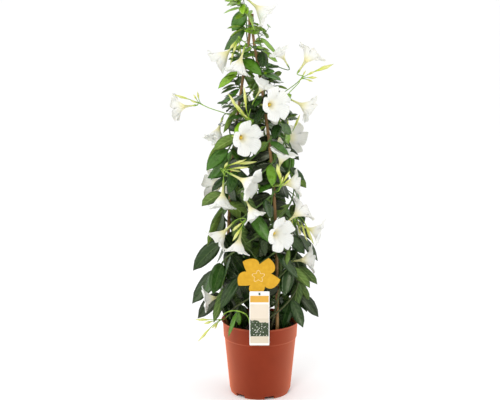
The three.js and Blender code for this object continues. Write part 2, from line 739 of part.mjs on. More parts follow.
// Closed skin of a leaf with a keeled blade. grow widens it, and start is how far along it begins.
function leafSolid(leaf, grow, start) {
  const rings = LEAF_SECTIONS.map(({ at, wide, thick }) => {
    const along = leaf.along.clone();
    along.z -= 2 * leaf.droop * at;
    along.normalize();
    const flat = across(leaf.face, along);
    const edgeways = along.clone().cross(flat);
    const normal = plus(flat.multiplyScalar(Math.cos(leaf.roll)), edgeways, Math.sin(leaf.roll));
    const side = along.clone().cross(normal);
    const reach = wide * leaf.width + grow;
    const keel = leafPoint(leaf, at).addScaledVector(normal, -LEAF_FOLD * reach);
    return [
      plus(leafPoint(leaf, at), side, -reach),
      plus(keel, normal, thick + grow),
      plus(leafPoint(leaf, at), side, reach),
      plus(keel, normal, -thick - grow),
    ];
  });
  const foot = [leafPoint(leaf, start / leaf.length)];
  const tip = [plus(leafPoint(leaf, 1), leaf.along, grow)];
  return loft([foot, ...rings, tip], (quad) => quad >= 2);
}

// Two leaves face each other at each joint of a stem, and the next pair stands across them.
function leafPlans(stem) {
  const draw = seededDraw(stem.seed);
  const plans = [];
  for (let i = 1; i + 1 < stem.points.length; i++) {
    const root = stem.points[i].clone().lerp(stem.points[i + 1], 0.5);
    if (root.z < LEAF_LOWEST || i % stem.every !== 0) continue;
    for (const sign of [1, -1]) {
      const draws = Array.from({ length: 7 }, draw);
      plans.push(leafPlan(stem, root, i, sign, draws));
    }
  }
  return plans;
}

function leafPlan(stem, root, i, sign, draws) {
  const outward = root.clone().sub(frameCentre(root.z)).setZ(0).normalize();
  const sideways = outward.clone().cross(vec(0, 0, 1));
  const [low, high] = LEAF_HEIGHTS;
  const height = THREE.MathUtils.clamp((root.z - low) / (high - low), 0, 1);
  const crosswise = i % 2 === 0;
  const along = (crosswise ? sideways : outward).clone().multiplyScalar(sign * LEAF_ACROSS);
  if (crosswise || sign > 0) along.addScaledVector(outward, LEAF_OUTWARD);
  along.z += mix(...LEAF_FALLS, height);
  along.normalize().applyAxisAngle(vec(0, 0, 1), rad(LEAF_SWING * (draws[0] - 0.5)));
  along.z += LEAF_TILT * (draws[1] - 0.5);
  along.normalize();
  // The plant leans to the left a little, and its leaves are longer there.
  const full = mix(LEAF_LONG, LEAF_SHORT, height) * (stem.young ? YOUNG_LEAF : 1);
  const length = full * mix(...LEAF_SIZES, draws[2]) * (1 - LEAF_LEAN * outward.x);
  const out = along.z > 0 ? LEAF_FACE_OUT.rising : LEAF_FACE_OUT.falling;
  const toFront = (draws[6] < LEAF_FRONT_SHARE ? -1 : 1) * LEAF_FACE_ROUND * Math.abs(outward.x);
  return {
    root,
    start: LEAF_START * stem.radii[i],
    along,
    face: vec(0, toFront, 1).addScaledVector(outward, out).normalize(),
    roll: rad(LEAF_ROLL * (draws[3] - 0.5)),
    length,
    width: (length * LEAF_SLIM * (stem.young ? YOUNG_SLIM : 1) * mix(...LEAF_WIDTHS, draws[4])) / 2,
    droop: mix(...LEAF_DROOPS, draws[5]),
  };
}

// The same leaf turned and lifted, and shortened where room is short.
function turnedLeaf(leaf, [swing, lift, size]) {
  const along = leaf.along.clone().applyAxisAngle(vec(0, 0, 1), rad(swing));
  along.z += Math.sin(rad(lift));
  along.normalize();
  return { ...leaf, along, length: leaf.length * size, width: leaf.width * size };
}

function boxOf(solid) {
  const { min, max } = solid.boundingBox();
  return new THREE.Box3(vec(...min), vec(...max));
}

function meets(solid, others) {
  const box = boxOf(solid);
  return others.some((other) => box.intersectsBox(other.box) && !solid.intersect(other.solid).isEmpty());
}

// Each leaf takes the first of its turns that touches nothing, and a leaf with no room is left out.
// Leaves of one stem may only meet where they start.
function growLeaves(stem, taken) {
  const leaves = [];
  const others = taken.filter(({ solid }) => solid !== stem.solid);
  for (const plan of leafPlans(stem)) {
    const leaf = LEAF_TRIES.map((turn) => turnedLeaf(plan, turn)).find(
      (each) => !meets(leafSolid(each, LEAF_CLEAR, each.start), others)
        && !meets(leafSolid(each, LEAF_CLEAR, LEAF_SKIP), leaves));
    if (!leaf) continue;
    const solid = leafSolid(leaf, 0, leaf.start);
    leaves.push({ solid, box: boxOf(solid) });
  }
  taken.push(...leaves);
  return leaves.map(({ solid }) => solid);
}

// Card and label

// Five petals, each with a sharp tip towards the one before it and a round shoulder.
function cardOutline() {
  const shape = new THREE.Shape();
  const step = 360 / CARD_PETALS;
  const spot = (radius, angle) => [radius * Math.sin(rad(angle)), radius * Math.cos(rad(angle))];
  shape.moveTo(...spot(CARD_WAIST, CARD_TURN));
  for (let i = 0; i < CARD_PETALS; i++) {
    const start = step * i + CARD_TURN;
    const pull = ([share, turn]) => spot(CARD_RADIUS * share, start + turn);
    shape.quadraticCurveTo(...pull(CARD_PULLS.tip), ...spot(CARD_RADIUS, start + CARD_TIP_AT));
    shape.bezierCurveTo(
      ...pull(CARD_PULLS.crown), ...pull(CARD_PULLS.shoulder), ...spot(CARD_WAIST, start + step));
  }
  return shape;
}

// The card stands in its own plane, its foot at the origin of that plane, and leans outwards.
function cardSolid() {
  const rise = (CARD_CENTRE[1] - STAKE_FOOT) / Math.cos(rad(CARD_LEAN));
  const petals = new THREE.ExtrudeGeometry(cardOutline(), {
    depth: CARD_THICK, bevelEnabled: false, curveSegments: 3,
  });
  const peg = new THREE.CylinderGeometry(PEG_RADIUS, PEG_RADIUS, PEG_LENGTH, 8);
  const pegZ = LABEL_TOP - LABEL_HOLE_DROP;
  const pegY = CARD_FOOT_Y - (pegZ - STAKE_FOOT) * Math.tan(rad(CARD_LEAN));
  const flat = unite([
    solidOf(petals.translate(0, rise, -CARD_THICK / 2)),
    stakeSolid(rise, 0),
  ]);
  return stoodUp(flat).add(solidOf(peg.translate(LABEL_X, pegY - PEG_LENGTH / 2 + 0.5, pegZ)));
}

function stakeSolid(rise, gap) {
  const stake = new THREE.BoxGeometry(STAKE_WIDTH + 2 * gap, rise + gap, CARD_THICK + 2 * gap);
  return solidOf(stake.translate(0, (rise - gap) / 2, 0));
}

function stoodUp(flat) {
  return flat.rotate([90 + CARD_LEAN, 0, 0]).translate([CARD_CENTRE[0], CARD_FOOT_Y, STAKE_FOOT]);
}

function labelSolid() {
  const plate = new THREE.BoxGeometry(LABEL_WIDTH, LABEL_THICK, LABEL_HEIGHT);
  const hole = new THREE.CylinderGeometry(LABEL_HOLE, LABEL_HOLE, 4 * LABEL_THICK, 10);
  const middle = LABEL_TOP - LABEL_HEIGHT / 2;
  return solidOf(plate.translate(LABEL_X, LABEL_Y, middle)).subtract(
    solidOf(hole.translate(LABEL_X, LABEL_Y, LABEL_TOP - LABEL_HOLE_DROP)));
}

// Space that leaves keep out of: in front of the card, and before the face of each bloom.
function clearSpaces() {
  const cardView = new THREE.BoxGeometry(2 * CARD_RADIUS, VIEW_DEPTH, CARD_VIEW_HEIGHT);
  const [x, z] = CARD_CENTRE;
  const spaces = [solidOf(cardView.translate(x, CARD_VIEW_Y, z + CARD_RADIUS - CARD_VIEW_HEIGHT / 2))];
  for (const spec of [...BLOOMS, ...BACK_BLOOMS]) {
    const { face } = bloomAxes(spec);
    const mouth = vec(...spec.mouth);
    const outward = mouth.clone().sub(frameCentre(mouth.z)).setZ(0).normalize();
    const view = face.clone().multiplyScalar(VIEW_LEAN).add(outward).normalize();
    const points = [plus(mouth, view, VIEW_START), plus(mouth, view, VIEW_DEPTH)];
    spaces.push(sweep(points, VIEW_RADII.map((radius) => radius * spec.size), VIEW_SIDES));
  }
  return spaces;
}

// The whole plant

const canes = Array.from({ length: CANE_COUNT }, (_, i) => caneSolid(i, CANE_FOOT, 0));
const stems = [
  stemOf(YOUNG_SHOOT, YOUNG_SHOOT.points.map((p) => vec(...p)), YOUNG_RADIUS, 301),
  ...VINES.map((vine, i) => stemOf(
    vine, stemPoints((z) => vinePoint(vine, z), vine.top, VINE_STEP), VINE_LOW_RADIUS, 101 + i)),
  ...SHOOTS.map((shoot, i) => stemOf(
    shoot, stemPoints((z) => shootPoint(shoot, z), shoot.top, shoot.step), STEM_LOW_RADIUS, 201 + i)),
];
const sprays = SPRAYS.map((spec) => sprayOf(spec, stems));
BLOOMS.forEach((spec) => growStalk(spec, GAP, stems, sprays));
for (const spec of BACK_BLOOMS) {
  growStalk(spec, -STALK_SINK, stems, sprays);
  sprays.find(({ name }) => name === spec.spray).blooms.push(bloomSolid(spec));
}
for (const stem of stems) {
  stem.solid = unite([sweep(stem.points, stem.radii, STEM_SIDES), ...stem.stalks]);
}
const spraySolids = sprays.map(spraySolid);
const bloomSolids = BLOOMS.map(bloomSolid);
const card = cardSolid();
const label = labelSolid();
const pot = potSolid();

const rooted = [
  ...canes.map((_, i) => caneSolid(i, CANE_FOOT - GAP, HOLE_GAP)),
  ...stems.map((stem) => {
    const points = [plus(stem.points[0], vec(0, 0, -1), GAP), ...stem.points.slice(1, 4)];
    return sweep(points, stem.radii.slice(0, 4).map((r) => r + HOLE_GAP), STEM_SIDES);
  }),
  stoodUp(stakeSolid(POT_HEIGHT - STAKE_FOOT, GAP)),
];

const soil = soilSolid(rooted);
const tie = tieSolid();
const stemSolids = stems.map(({ solid }) => solid);
const standing = [...canes, ...stemSolids, ...spraySolids, ...bloomSolids, card, label, pot, soil, tie];
const taken = [...standing, ...clearSpaces()].map((solid) => ({ solid, box: boxOf(solid) }));

const plant = new THREE.Group();
plant.add(meshOf('pot', pot, materials.pot));
plant.add(meshOf('soil', soil, materials.soil));
canes.forEach((cane, i) => plant.add(meshOf(`cane_${i + 1}`, cane, materials.cane)));
plant.add(meshOf('cane_tie', tie, materials.tie));
plant.add(meshOf('flower_card', card, materials.card));
plant.add(meshOf('label', label, materials.label));
for (const stem of stems) {
  const look = stem.young ? materials.youngLeaf : materials.leaf;
  plant.add(meshOf(stem.name, unite([stem.solid, ...growLeaves(stem, taken)]), look));
}
sprays.forEach(({ name }, i) => plant.add(meshOf(name, spraySolids[i], materials.bud)));
BLOOMS.forEach(({ name }, i) => plant.add(meshOf(name, bloomSolids[i], materials.petal)));

export default plant;
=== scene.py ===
# A potted mandevilla in bloom: the finish of every piece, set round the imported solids.
# Lengths are in millimetres until a mesh is made, and +Z is up. The front is towards -Y.
import math
import random

import bmesh
import bpy
import numpy as np
from mathutils import Matrix, Vector


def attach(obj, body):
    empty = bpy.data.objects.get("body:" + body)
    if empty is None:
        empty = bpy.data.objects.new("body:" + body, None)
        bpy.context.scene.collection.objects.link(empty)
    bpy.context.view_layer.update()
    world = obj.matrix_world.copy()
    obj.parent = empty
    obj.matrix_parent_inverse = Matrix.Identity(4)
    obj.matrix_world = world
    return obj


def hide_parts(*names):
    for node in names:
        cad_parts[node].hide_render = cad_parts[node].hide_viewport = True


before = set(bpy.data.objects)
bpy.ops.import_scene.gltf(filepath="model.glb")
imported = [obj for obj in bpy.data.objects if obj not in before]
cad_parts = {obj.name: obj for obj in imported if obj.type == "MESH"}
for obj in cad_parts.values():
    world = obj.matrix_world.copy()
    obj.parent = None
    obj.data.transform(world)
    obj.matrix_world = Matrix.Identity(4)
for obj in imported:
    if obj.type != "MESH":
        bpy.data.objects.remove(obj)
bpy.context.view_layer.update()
bpy.ops.object.select_all(action="DESELECT")

MM = 0.001
SEED = 7

# Length of one wave of a wave texture at scale 1
WAVE = 0.314

# Pot, as on the solid: radius and height up the outside, over the rim and down the inside
POT_PROFILE = [
    (0, 0), (45, 0), (48, 9), (70.4, 9), (72, 0), (79, 0), (82.5, 12), (96, 152), (98.5, 156),
    (100.5, 194), (105, 200), (103.4, 200), (98.9, 193), (80.9, 11), (46.4, 11), (43.4, 2), (0, 2),
]
POT_STEPS = 96
POT_EDGE = 0.5
DRAIN_CIRCLE = 59
DRAIN_RADIUS = 5
DRAIN_TURN = 6
DRAIN_MIDDLE = 10
DRAIN_DEPTH = 8
NOTCH_CIRCLE = 79
NOTCH_SIZE = (21, 28, 18)
NOTCH_TURN = -72
POT_REPEATS = 6

# Soil
SOIL_TOP = 175
CRUST_RADIUS = 96.2
CRUST_LOW = 172
CRUST_HIGH = 178.6
CRUST_RELIEF = 3.2
CRUST_GRAIN = 9
CRUMBS = 260
CRUMB_SIZES = (0.9, 3.2)
CRUMB_MARGIN = 4

# Canes and tie
CANE_COUNT = 3
CANE_CIRCLE = 88
CANE_FOOT = 60
CANE_TOP = 1012
CANE_SLANT = 0.12
CANE_RADII = (4.5, 3.5)
CANE_BOW = 2.8
CANE_CLOSE = 1.2
CANE_STEP = 4
CANE_JOINTS = ((96, 208, 341, 480, 622, 771, 905), (150, 287, 418, 566, 709, 840, 968),
               (120, 246, 395, 529, 668, 812, 936))
JOINT_SWELL = 0.75
JOINT_LENGTH = 3.2
SCAR_LENGTH = 2.4
APEX_X = -24
TIE_Z = 982
BUNDLE_CIRCLE = 4.5
TIE_CIRCLE = 10
TIE_WIRE = 1.05
TIE_TURNS = 2
TIE_RISE = 2.2
TIE_TAIL = 11
TAIL_STEPS = 12
TAIL_TWIST = 50

# Climbing stems
TWIST = 0.8
STEM_START = 148
STEM_CLEAR = (20, 13)
STEM_CLOSES = (780, 950)
STEM_LEAN = 72
STEM_HIGH_RADIUS = 1.5
LOWEST_STALK = 195
VINE_PITCH = 300
VINE_LEAN = 60
VINE_ROOT = 21
VINE_CIRCLE = 11.2
STEM_FINE = 7
JOINT_BULGE = 0.3

# Shoots: turn at the foot, distance from the middle, top and the length from joint to joint
SHOOTS = {
    "shoot_1": (238, 52, 1034, 58),
    "shoot_2": (105, 56, 960, 58),
    "shoot_3": (345, 54, 905, 58),
    "shoot_4": (165, 36, 800, 56),
    "shoot_5": (285, 32, 730, 56),
    "shoot_6": (45, 34, 660, 56),
}
SHOOT_RADIUS = 2.5

# Vines: the cane they climb, turn at the foot and top
VINES = {"vine_1": (0, 20, 850), "vine_2": (1, 150, 800), "vine_3": (2, 260, 830)}
VINE_STEP = 36
VINE_RADIUS = 2.7

YOUNG_POINTS = (
    (-24, -72, 148), (-26, -80, 200), (-31, -92, 236), (-50, -99, 250), (-70, -97, 253),
    (-88, -88, 246), (-100, -74, 232),
)
YOUNG_RADIUS = 1.8

# Leaves: rows along one, and how wide and thick it is there
LEAF_ROWS = (0, 0.035, 0.075, 0.125, 0.2, 0.31, 0.44, 0.58, 0.71, 0.83, 0.92, 1)
LEAF_COLUMNS = 4
LEAF_STALK = 0.07
STALK_WIDE = 0.055
LEAF_SWELL = 0.56
LEAF_TAPER = 0.72
DRIP_TIP = 0.75
BLADE_THICK = 0.32
STALK_THICK = 0.85
LEAF_SECTIONS = (0.24, 0.62)
LEAF_WIDE = 0.78
LEAF_FOLD = 0.2
LEAF_MIN_HALF = 4
ROOT_SLACK = 2
LEAF_DEEP = 45

# Tones of leaves, from 0 for old and dark to 1 for young and lime: how much is added over a range
# of heights, near the top of a stem, near the top of the plant, and at random
TONE_RISE = (250, 750, 0.42)
TONE_TIP = (150, 0.3)
TONE_TOP = (835, 985, 0.78)
TONE_CHANCE = (1.5, 0.26)
YOUNG_TONES = (0.6, 0.8)

# Younger leaves low down on the left: middle and reach of the patch, and how much fresher
FRESH_PATCH = ((-118, -60, 305), 80, 0.36)

# Inner leaves on the stems that climb the canes, turned inwards and darkened with painted shade
INNER_SPAN = (200, 830)
INNER_SIZES = (54, 84)
INNER_SLIMS = (0.46, 0.58)
PAINTED_INNER_SHADE = 0.28
INNER_SHORTEN = (500, 850, 0.6)

# Short leafy twigs in the axils of the upper joints
TWIG_LOW = 730
TWIG_PAIRS = 840
TWIG_LENGTHS = (14, 34)
TWIG_RADIUS = 0.95
TWIG_TURN = 1.3
TWIG_RISES = (-0.1, 0.9)
TWIG_SIZES = (30, 52)
TWIG_SLIMS = (0.4, 0.54)
TWIG_TONES = (0.02, 0.5)
TWIG_SHADES = (0.45, 1.1)
TWIG_FRONT = 1.4
LIME_SHARE = 0.15
LIME_TONE = 0.92

# Sprays: end of the stalk, and the buds' tips with their thickness
SPRAYS = {
    "spray_top": ((-50, -12, 948), [(-78, -34, 884, 3.2)]),
    "spray_high_right": ((100, -6, 842), [(186, -26, 886, 5)]),
    "spray_far_left": ((-148, -14, 779), [(-222, -30, 808, 3.4), (-163, -26, 816, 2.6)]),
    "spray_front_high": (
        (-14, -74, 748), [(-84, -84, 818, 3.6), (-44, -88, 836, 3.6), (-70, -98, 798, 2.6)]),
    "spray_front_right": (
        (46, -102, 572), [(41, -104, 640, 5), (74, -100, 622, 3.4), (57, -110, 610, 2.4)]),
    "spray_left": (
        (-92, -52, 602), [(-10, -100, 646, 4.2), (-36, -96, 652, 3.2), (-30, -108, 634, 2.6)]),
    "spray_front_low": ((-44, -108, 492), [(-72, -134, 446, 3.8)]),
    "spray_right": ((88, -36, 480), [(140, -62, 420, 3.8), (122, -58, 428, 2.6)]),
    "spray_rim_left": ((-100, -52, 214), [(-172, -66, 218, 3.4), (-166, -62, 156, 3.4)]),
    "spray_back_high": ((-6, 82, 768), [(-34, 104, 826, 3.2), (22, 108, 822, 3.4)]),
    "spray_back_right": ((66, 84, 690), [(108, 112, 740, 3.4), (70, 128, 744, 3)]),
    "spray_back_left": ((-74, 80, 560), [(-122, 112, 604, 3.4), (-80, 130, 610, 3)]),
    "spray_back_low": ((26, 112, 430), [(60, 150, 470, 3.6), (0, 156, 476, 3)]),
}
RACHIS_LENGTH = 16
RACHIS_RADII = (1.9, 1.5, 1.9, 1.5, 1.3)
STALK_RADIUS = 1.15
STALK_SEAT = 0.35
STALK_REACH = 20
STALK_LIFT = 12
SMALL_BUDS = 5
SMALL_LENGTHS = (30, 52)
SMALL_SPREAD = 0.75
SMALL_SLIM = 0.066
BUD_START = 0.38
BUD_STALK = 0.9
BUD_STEPS = 40
BUD_STALK_STEPS = 18
BUD_SIDES = 15
BUD_ROWS = 12
BUD_RIDGES = (1.1, 0.93, 0.93)
BUD_WIND = 180
BUD_POINT = 0.02

# Blooms on sprays. The others grow on the nearest stem.
BLOOM_COUNT = 23
SPRAY_BLOOMS = {
    "spray_top": (2, 3), "spray_high_right": (5, 9), "spray_far_left": (6,),
    "spray_front_high": (8,), "spray_front_right": (13,), "spray_left": (14, 15),
    "spray_front_low": (20, 21), "spray_right": (19,),
}

# Blooms of the back sprays: middle of the mouth, turn from the front towards +X, rise and size
BACK_BLOOMS = {
    "spray_back_high": (((-50, 112, 756), -160, 4, 0.95), ((40, 118, 744), 158, 0, 1)),
    "spray_back_right": (((98, 108, 676), 136, -10, 1), ((44, 138, 668), 176, -14, 0.95)),
    "spray_back_left": (((-136, 92, 548), -122, -8, 1), ((-62, 142, 536), -176, -16, 1)),
    "spray_back_low": (((84, 150, 418), 150, -12, 1), ((-20, 168, 412), -170, -14, 0.95)),
}

# One bloom of size 1: its tube and throat as place along and radius, then the lobes' rows
BLOOM_LENGTH = 70
BLOOM_VIEW = 1.6
BLOOM_CLEAR = (8, 44)
BLOOM_LOOKS = ("outer", "inner", "stalk")
HALF_OPEN = 0.8
HANGS = -0.6
PIT_AT = 34
PIT_DEPTH = 17.5
BLOOM_SPIN = 18
LOBES = 5
LOBE_TURN = 360 / LOBES
TUBE_ROWS = ((0, 2.2), (12, 2.4), (24, 2.9), (32, 4.3), (38, 6.8), (44, 11.2), (50, 16.2))
LOBE_ROWS = (0.16, 0.34, 0.52, 0.7, 0.86, 1)
LOBE_SPREAD = 0.15
LOBE_RISE = 1.8
LOBE_CURL = 4.5
LOBE_LAP = 1.2
LOBE_WAVE = 2.3
LOBE_FRILL = 0.9
LOBE_CLOSE = 14

# Columns of one lobe: place across from -1 to 1, reach of the edge, and place along there
LOBE_COLUMNS = (
    (-1, 22, 61), (-0.88, 32, 66.5), (-0.76, 40, 70.5), (-0.63, 46.5, 74), (-0.5, 44.5, 72.5),
    (-0.26, 43, 71), (0.05, 43.5, 70), (0.36, 42.5, 69), (0.63, 39, 67.5), (0.84, 32, 65),
    (1, 22, 61),
)
PETAL_THICK = 0.5
ANTHERS = (34, 44)
ANTHER_RADIUS = 5.6
SEPAL_SIZE = (1.5, 9)
SEPAL_CIRCLE = 2.6
SEPAL_HEIGHT = 3
SEPAL_TILT = 10

# Card and label
CARD_CENTRE = (-6, 349)
CARD_PETALS = 5
CARD_RADIUS = 57
CARD_WAIST = 33
CARD_PULL = 0.72 * CARD_RADIUS
CARD_CROWN = 1.02 * CARD_RADIUS
CARD_TURN = 5
CARD_TIP_AT = 22
CARD_THICK = 1.2
CARD_LEAN = 8.2
CARD_FOOT = (-84, 138)
CARD_CURVE = 12
STAKE_WIDTH = 12
PEG_RADIUS = 1.7
PEG_LENGTH = 9
LABEL_SIZE = (52, 146, 0.8)
LABEL_TOP = 308
LABEL_PLACE = (-3, -110.4)
LABEL_HOLE = 2.1
LABEL_DROP = 6
LABEL_CORNER = 3
LABEL_FIELD = 48
PRINT_LEAF = 2.6
PRINT_FLOWER = 5
PRINT_HILL = 26

# Camera in millimetres, and the floor and each softbox's place, size and power in Blender's metres
# and watts
CAMERA_PLACE = (-27.5, -3000, 1120)
CAMERA_TILT = 78.81
CAMERA_LENS = 83.4
FLOOR_SIZE = 400
ROOM_LIGHT = 1.14
ROOM_FRONT = 0.25
LIT_POINT = (0, 0, 0.55)
SOFTBOXES = {
    "softbox_left": ((-2.8, -0.2, 1.2), 1.4, 7),
    "softbox_right": ((2.8, -0.1, 1.2), 1.4, 8),
    "softbox_front": ((-0.7, -2.5, 2.1), 0.8, 30),
}


# Small tools

def linear(code):
    """A colour written as sRGB hex, as Blender's linear numbers."""
    parts = [int(code[i:i + 2], 16) / 255 for i in (1, 3, 5)]
    return [p / 12.92 if p <= 0.04045 else ((p + 0.055) / 1.055) ** 2.4 for p in parts] + [1]


def active(piece):
    """Makes one piece the only one selected."""
    bpy.ops.object.select_all(action="DESELECT")
    piece.select_set(True)
    bpy.context.view_layer.objects.active = piece


def named(name):
    """Names the piece just added, and its mesh."""
    piece = bpy.context.object
    piece.name = name
    piece.data.name = name
    return piece


def pick(piece, chosen, kind="VERT"):
    """In edit mode, selects only the vertices or faces that pass a test."""
    bpy.ops.mesh.select_mode(type=kind)
    bpy.ops.mesh.select_all(action="DESELECT")
    shape = bmesh.from_edit_mesh(piece.data)
    for part in shape.verts if kind == "VERT" else shape.faces:
        if chosen(part):
            part.select_set(True)
    shape.select_flush_mode()
    bmesh.update_edit_mesh(piece.data)


def apply(piece, kind, **settings):
    """Adds a modifier to a piece, sets it and applies it."""
    active(piece)
    modifier = piece.modifiers.new(kind.lower(), kind)
    for key, value in settings.items():
        setattr(modifier, key, value)
    bpy.ops.object.modifier_apply(modifier=modifier.name)


def settle(piece):
    """Puts a piece's place, turn and size into its mesh."""
    active(piece)
    bpy.ops.object.transform_apply(location=True, rotation=True, scale=True)


def outward(piece):
    """Merges doubled points and points every face out."""
    active(piece)
    bpy.ops.object.mode_set(mode="EDIT")
    bpy.ops.mesh.select_all(action="SELECT")
    bpy.ops.mesh.remove_doubles(threshold=0.00001)
    bpy.ops.mesh.normals_make_consistent(inside=False)
    bpy.ops.object.mode_set(mode="OBJECT")


def join(pieces, name):
    """Joins pieces into the first of them."""
    bpy.ops.object.select_all(action="DESELECT")
    for piece in pieces:
        piece.select_set(True)
    bpy.context.view_layer.objects.active = pieces[0]
    bpy.ops.object.join()
    return named(name)


def smooth(piece, angle=None):
    """Shades a piece smooth, with edges sharper than the angle kept."""
    active(piece)
    if angle is None:
        bpy.ops.object.shade_smooth()
    else:
        bpy.ops.object.shade_smooth_by_angle(angle=math.radians(angle))


def dress(piece, slot, *looks):
    """Gives a piece its materials and sets it on the one body; its slot is not used."""
    slots = piece.data.materials
    for i, look in enumerate(looks):
        if i < len(slots):
            slots[i] = look
        else:
            slots.append(look)
    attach(piece, "root")
    return piece


# Points and directions

def vec(*values):
    return np.array(values, float)


def unit(v):
    return v / np.linalg.norm(v)


def across(direction, axis):
    """The part of a direction that is square to an axis, as a unit."""
    return unit(direction - axis * np.dot(direction, axis))


def mix(a, b, share):
    return a + (b - a) * share


def ease(share):
    """From 0 to 1, slow at both ends."""
    share = min(max(share, 0), 1)
    return share * share * (3 - 2 * share)


def eased(low, high, value):
    """How far a value is from low to high, eased."""
    return ease((value - low) / (high - low))


def ring_point(radius, angle, z):
    turn = math.radians(angle)
    return vec(radius * math.cos(turn), radius * math.sin(turn), z)


def curve_at(share, *knots):
    """The point that far along the Bezier curve with these knots."""
    while len(knots) > 1:
        knots = [mix(a, b, share) for a, b in zip(knots, knots[1:])]
    return knots[0]


def bend(start, leave, end, arrive, count):
    """Points of a curve that leaves one point and reaches another in given directions."""
    reach = np.linalg.norm(end - start) / 3
    knots = (start, start + leave * reach, end - arrive * reach, end)
    return [curve_at(share, *knots) for share in np.linspace(0, 1, count + 1)]


# Materials

def add(tree, kind, inputs=None, **settings):
    """Adds a node with its settings, and links or fills its inputs."""
    node = tree.nodes.new(kind)
    for key, value in settings.items():
        setattr(node, key, value)
    for key, value in (inputs or {}).items():
        if isinstance(value, bpy.types.NodeSocket):
            tree.links.new(value, node.inputs[key])
        else:
            node.inputs[key].default_value = value
    return node


def material(name, **settings):
    """A new material with its shader's plain values set."""
    look = bpy.data.materials.new(name)
    look.use_nodes = True
    shader = look.node_tree.nodes["Principled BSDF"]
    for key, value in settings.items():
        shader.inputs[key.replace("_", " ")].default_value = value
    return look, look.node_tree, shader.inputs


def pot_plastic():
    # Injection-moulded polypropylene with terracotta pigment: matt, faintly mottled, with fine rings
    # from the turned mould, pale rubs from other pots and a film of dust that lightens its sides
    look, tree, shader = material("moulded_polypropylene", IOR=1.49,
                                  Specular_IOR_Level=0.85, Specular_Tint=linear("#D8694A"),
                                  Sheen_Weight=1, Sheen_Roughness=0.55,
                                  Sheen_Tint=linear("#FF8E5E"))
    place = add(tree, "ShaderNodeTexCoord").outputs["Object"]
    mottle = add(tree, "ShaderNodeTexNoise", {"Vector": place, "Scale": 1 / (70 * MM), "Detail": 5})
    tint = add(tree, "ShaderNodeValToRGB", {"Fac": mottle.outputs["Fac"]})
    tint.color_ramp.elements[0].position = 0.3
    tint.color_ramp.elements[0].color = linear("#6C2012")
    tint.color_ramp.elements[1].position = 0.75
    tint.color_ramp.elements[1].color = linear("#792817")
    stretch = add(tree, "ShaderNodeMapping", {"Vector": place, "Scale": (0.25, 0.25, 1)})
    rubs = add(tree, "ShaderNodeTexNoise",
               {"Vector": stretch.outputs[0], "Scale": 1 / (5 * MM), "Detail": 6, "Roughness": 0.7})
    rubbed = add(tree, "ShaderNodeMapRange",
                 {"Value": rubs.outputs["Fac"], "From Min": 0.64, "From Max": 0.8, "To Max": 0.2})
    worn = add(tree, "ShaderNodeMix", {"Factor": rubbed.outputs[0], "A": tint.outputs[0],
                                       "B": linear("#A8553C")}, data_type="RGBA")
    tree.links.new(worn.outputs["Result"], shader["Base Color"])
    matt = add(tree, "ShaderNodeMapRange",
               {"Value": mottle.outputs["Fac"], "To Min": 0.42, "To Max": 0.58})
    tree.links.new(matt.outputs[0], shader["Roughness"])
    # Mould rings every 3 mm, drawn coarser than the real 0.3 mm so that they show
    rings = add(tree, "ShaderNodeTexWave", {"Vector": place, "Scale": WAVE / (3 * MM),
                                            "Distortion": 0.4}, bands_direction="Z")
    grain = add(tree, "ShaderNodeTexNoise", {"Vector": place, "Scale": 1 / (0.8 * MM), "Detail": 2})
    relief = add(tree, "ShaderNodeMath", {0: rings.outputs["Fac"], 1: grain.outputs["Fac"]},
                 operation="ADD")
    bump = add(tree, "ShaderNodeBump",
               {"Height": relief.outputs[0], "Strength": 0.12, "Distance": 0.15 * MM})
    tree.links.new(bump.outputs[0], shader["Normal"])
    return look


def peat():
    # Damp sphagnum peat with bark: almost black between crumbs, with pale fibres
    look, tree, shader = material("peat_and_bark", Roughness=0.95, IOR=1.4)
    place = add(tree, "ShaderNodeTexCoord").outputs["Object"]
    crumbs = add(tree, "ShaderNodeTexVoronoi", {"Vector": place, "Scale": 1 / (4 * MM)})
    tint = add(tree, "ShaderNodeValToRGB", {"Fac": crumbs.outputs["Color"]})
    tint.color_ramp.elements[0].color = linear("#1D130E")
    tint.color_ramp.elements[1].color = linear("#5A3C28")
    tint.color_ramp.elements.new(0.6).color = linear("#33221A")
    fibres = add(tree, "ShaderNodeTexNoise",
                 {"Vector": place, "Scale": 1 / (2 * MM), "Detail": 5, "Distortion": 2.5})
    shown = add(tree, "ShaderNodeMapRange",
                {"Value": fibres.outputs["Fac"], "From Min": 0.62, "From Max": 0.72, "To Max": 0.7})
    mixed = add(tree, "ShaderNodeMix", {"Factor": shown.outputs[0], "A": tint.outputs[0],
                                        "B": linear("#8A6747")}, data_type="RGBA")
    tree.links.new(mixed.outputs["Result"], shader["Base Color"])
    bump = add(tree, "ShaderNodeBump",
               {"Height": fibres.outputs["Fac"], "Strength": 0.8, "Distance": 1.2 * MM})
    tree.links.new(bump.outputs[0], shader["Normal"])
    return look


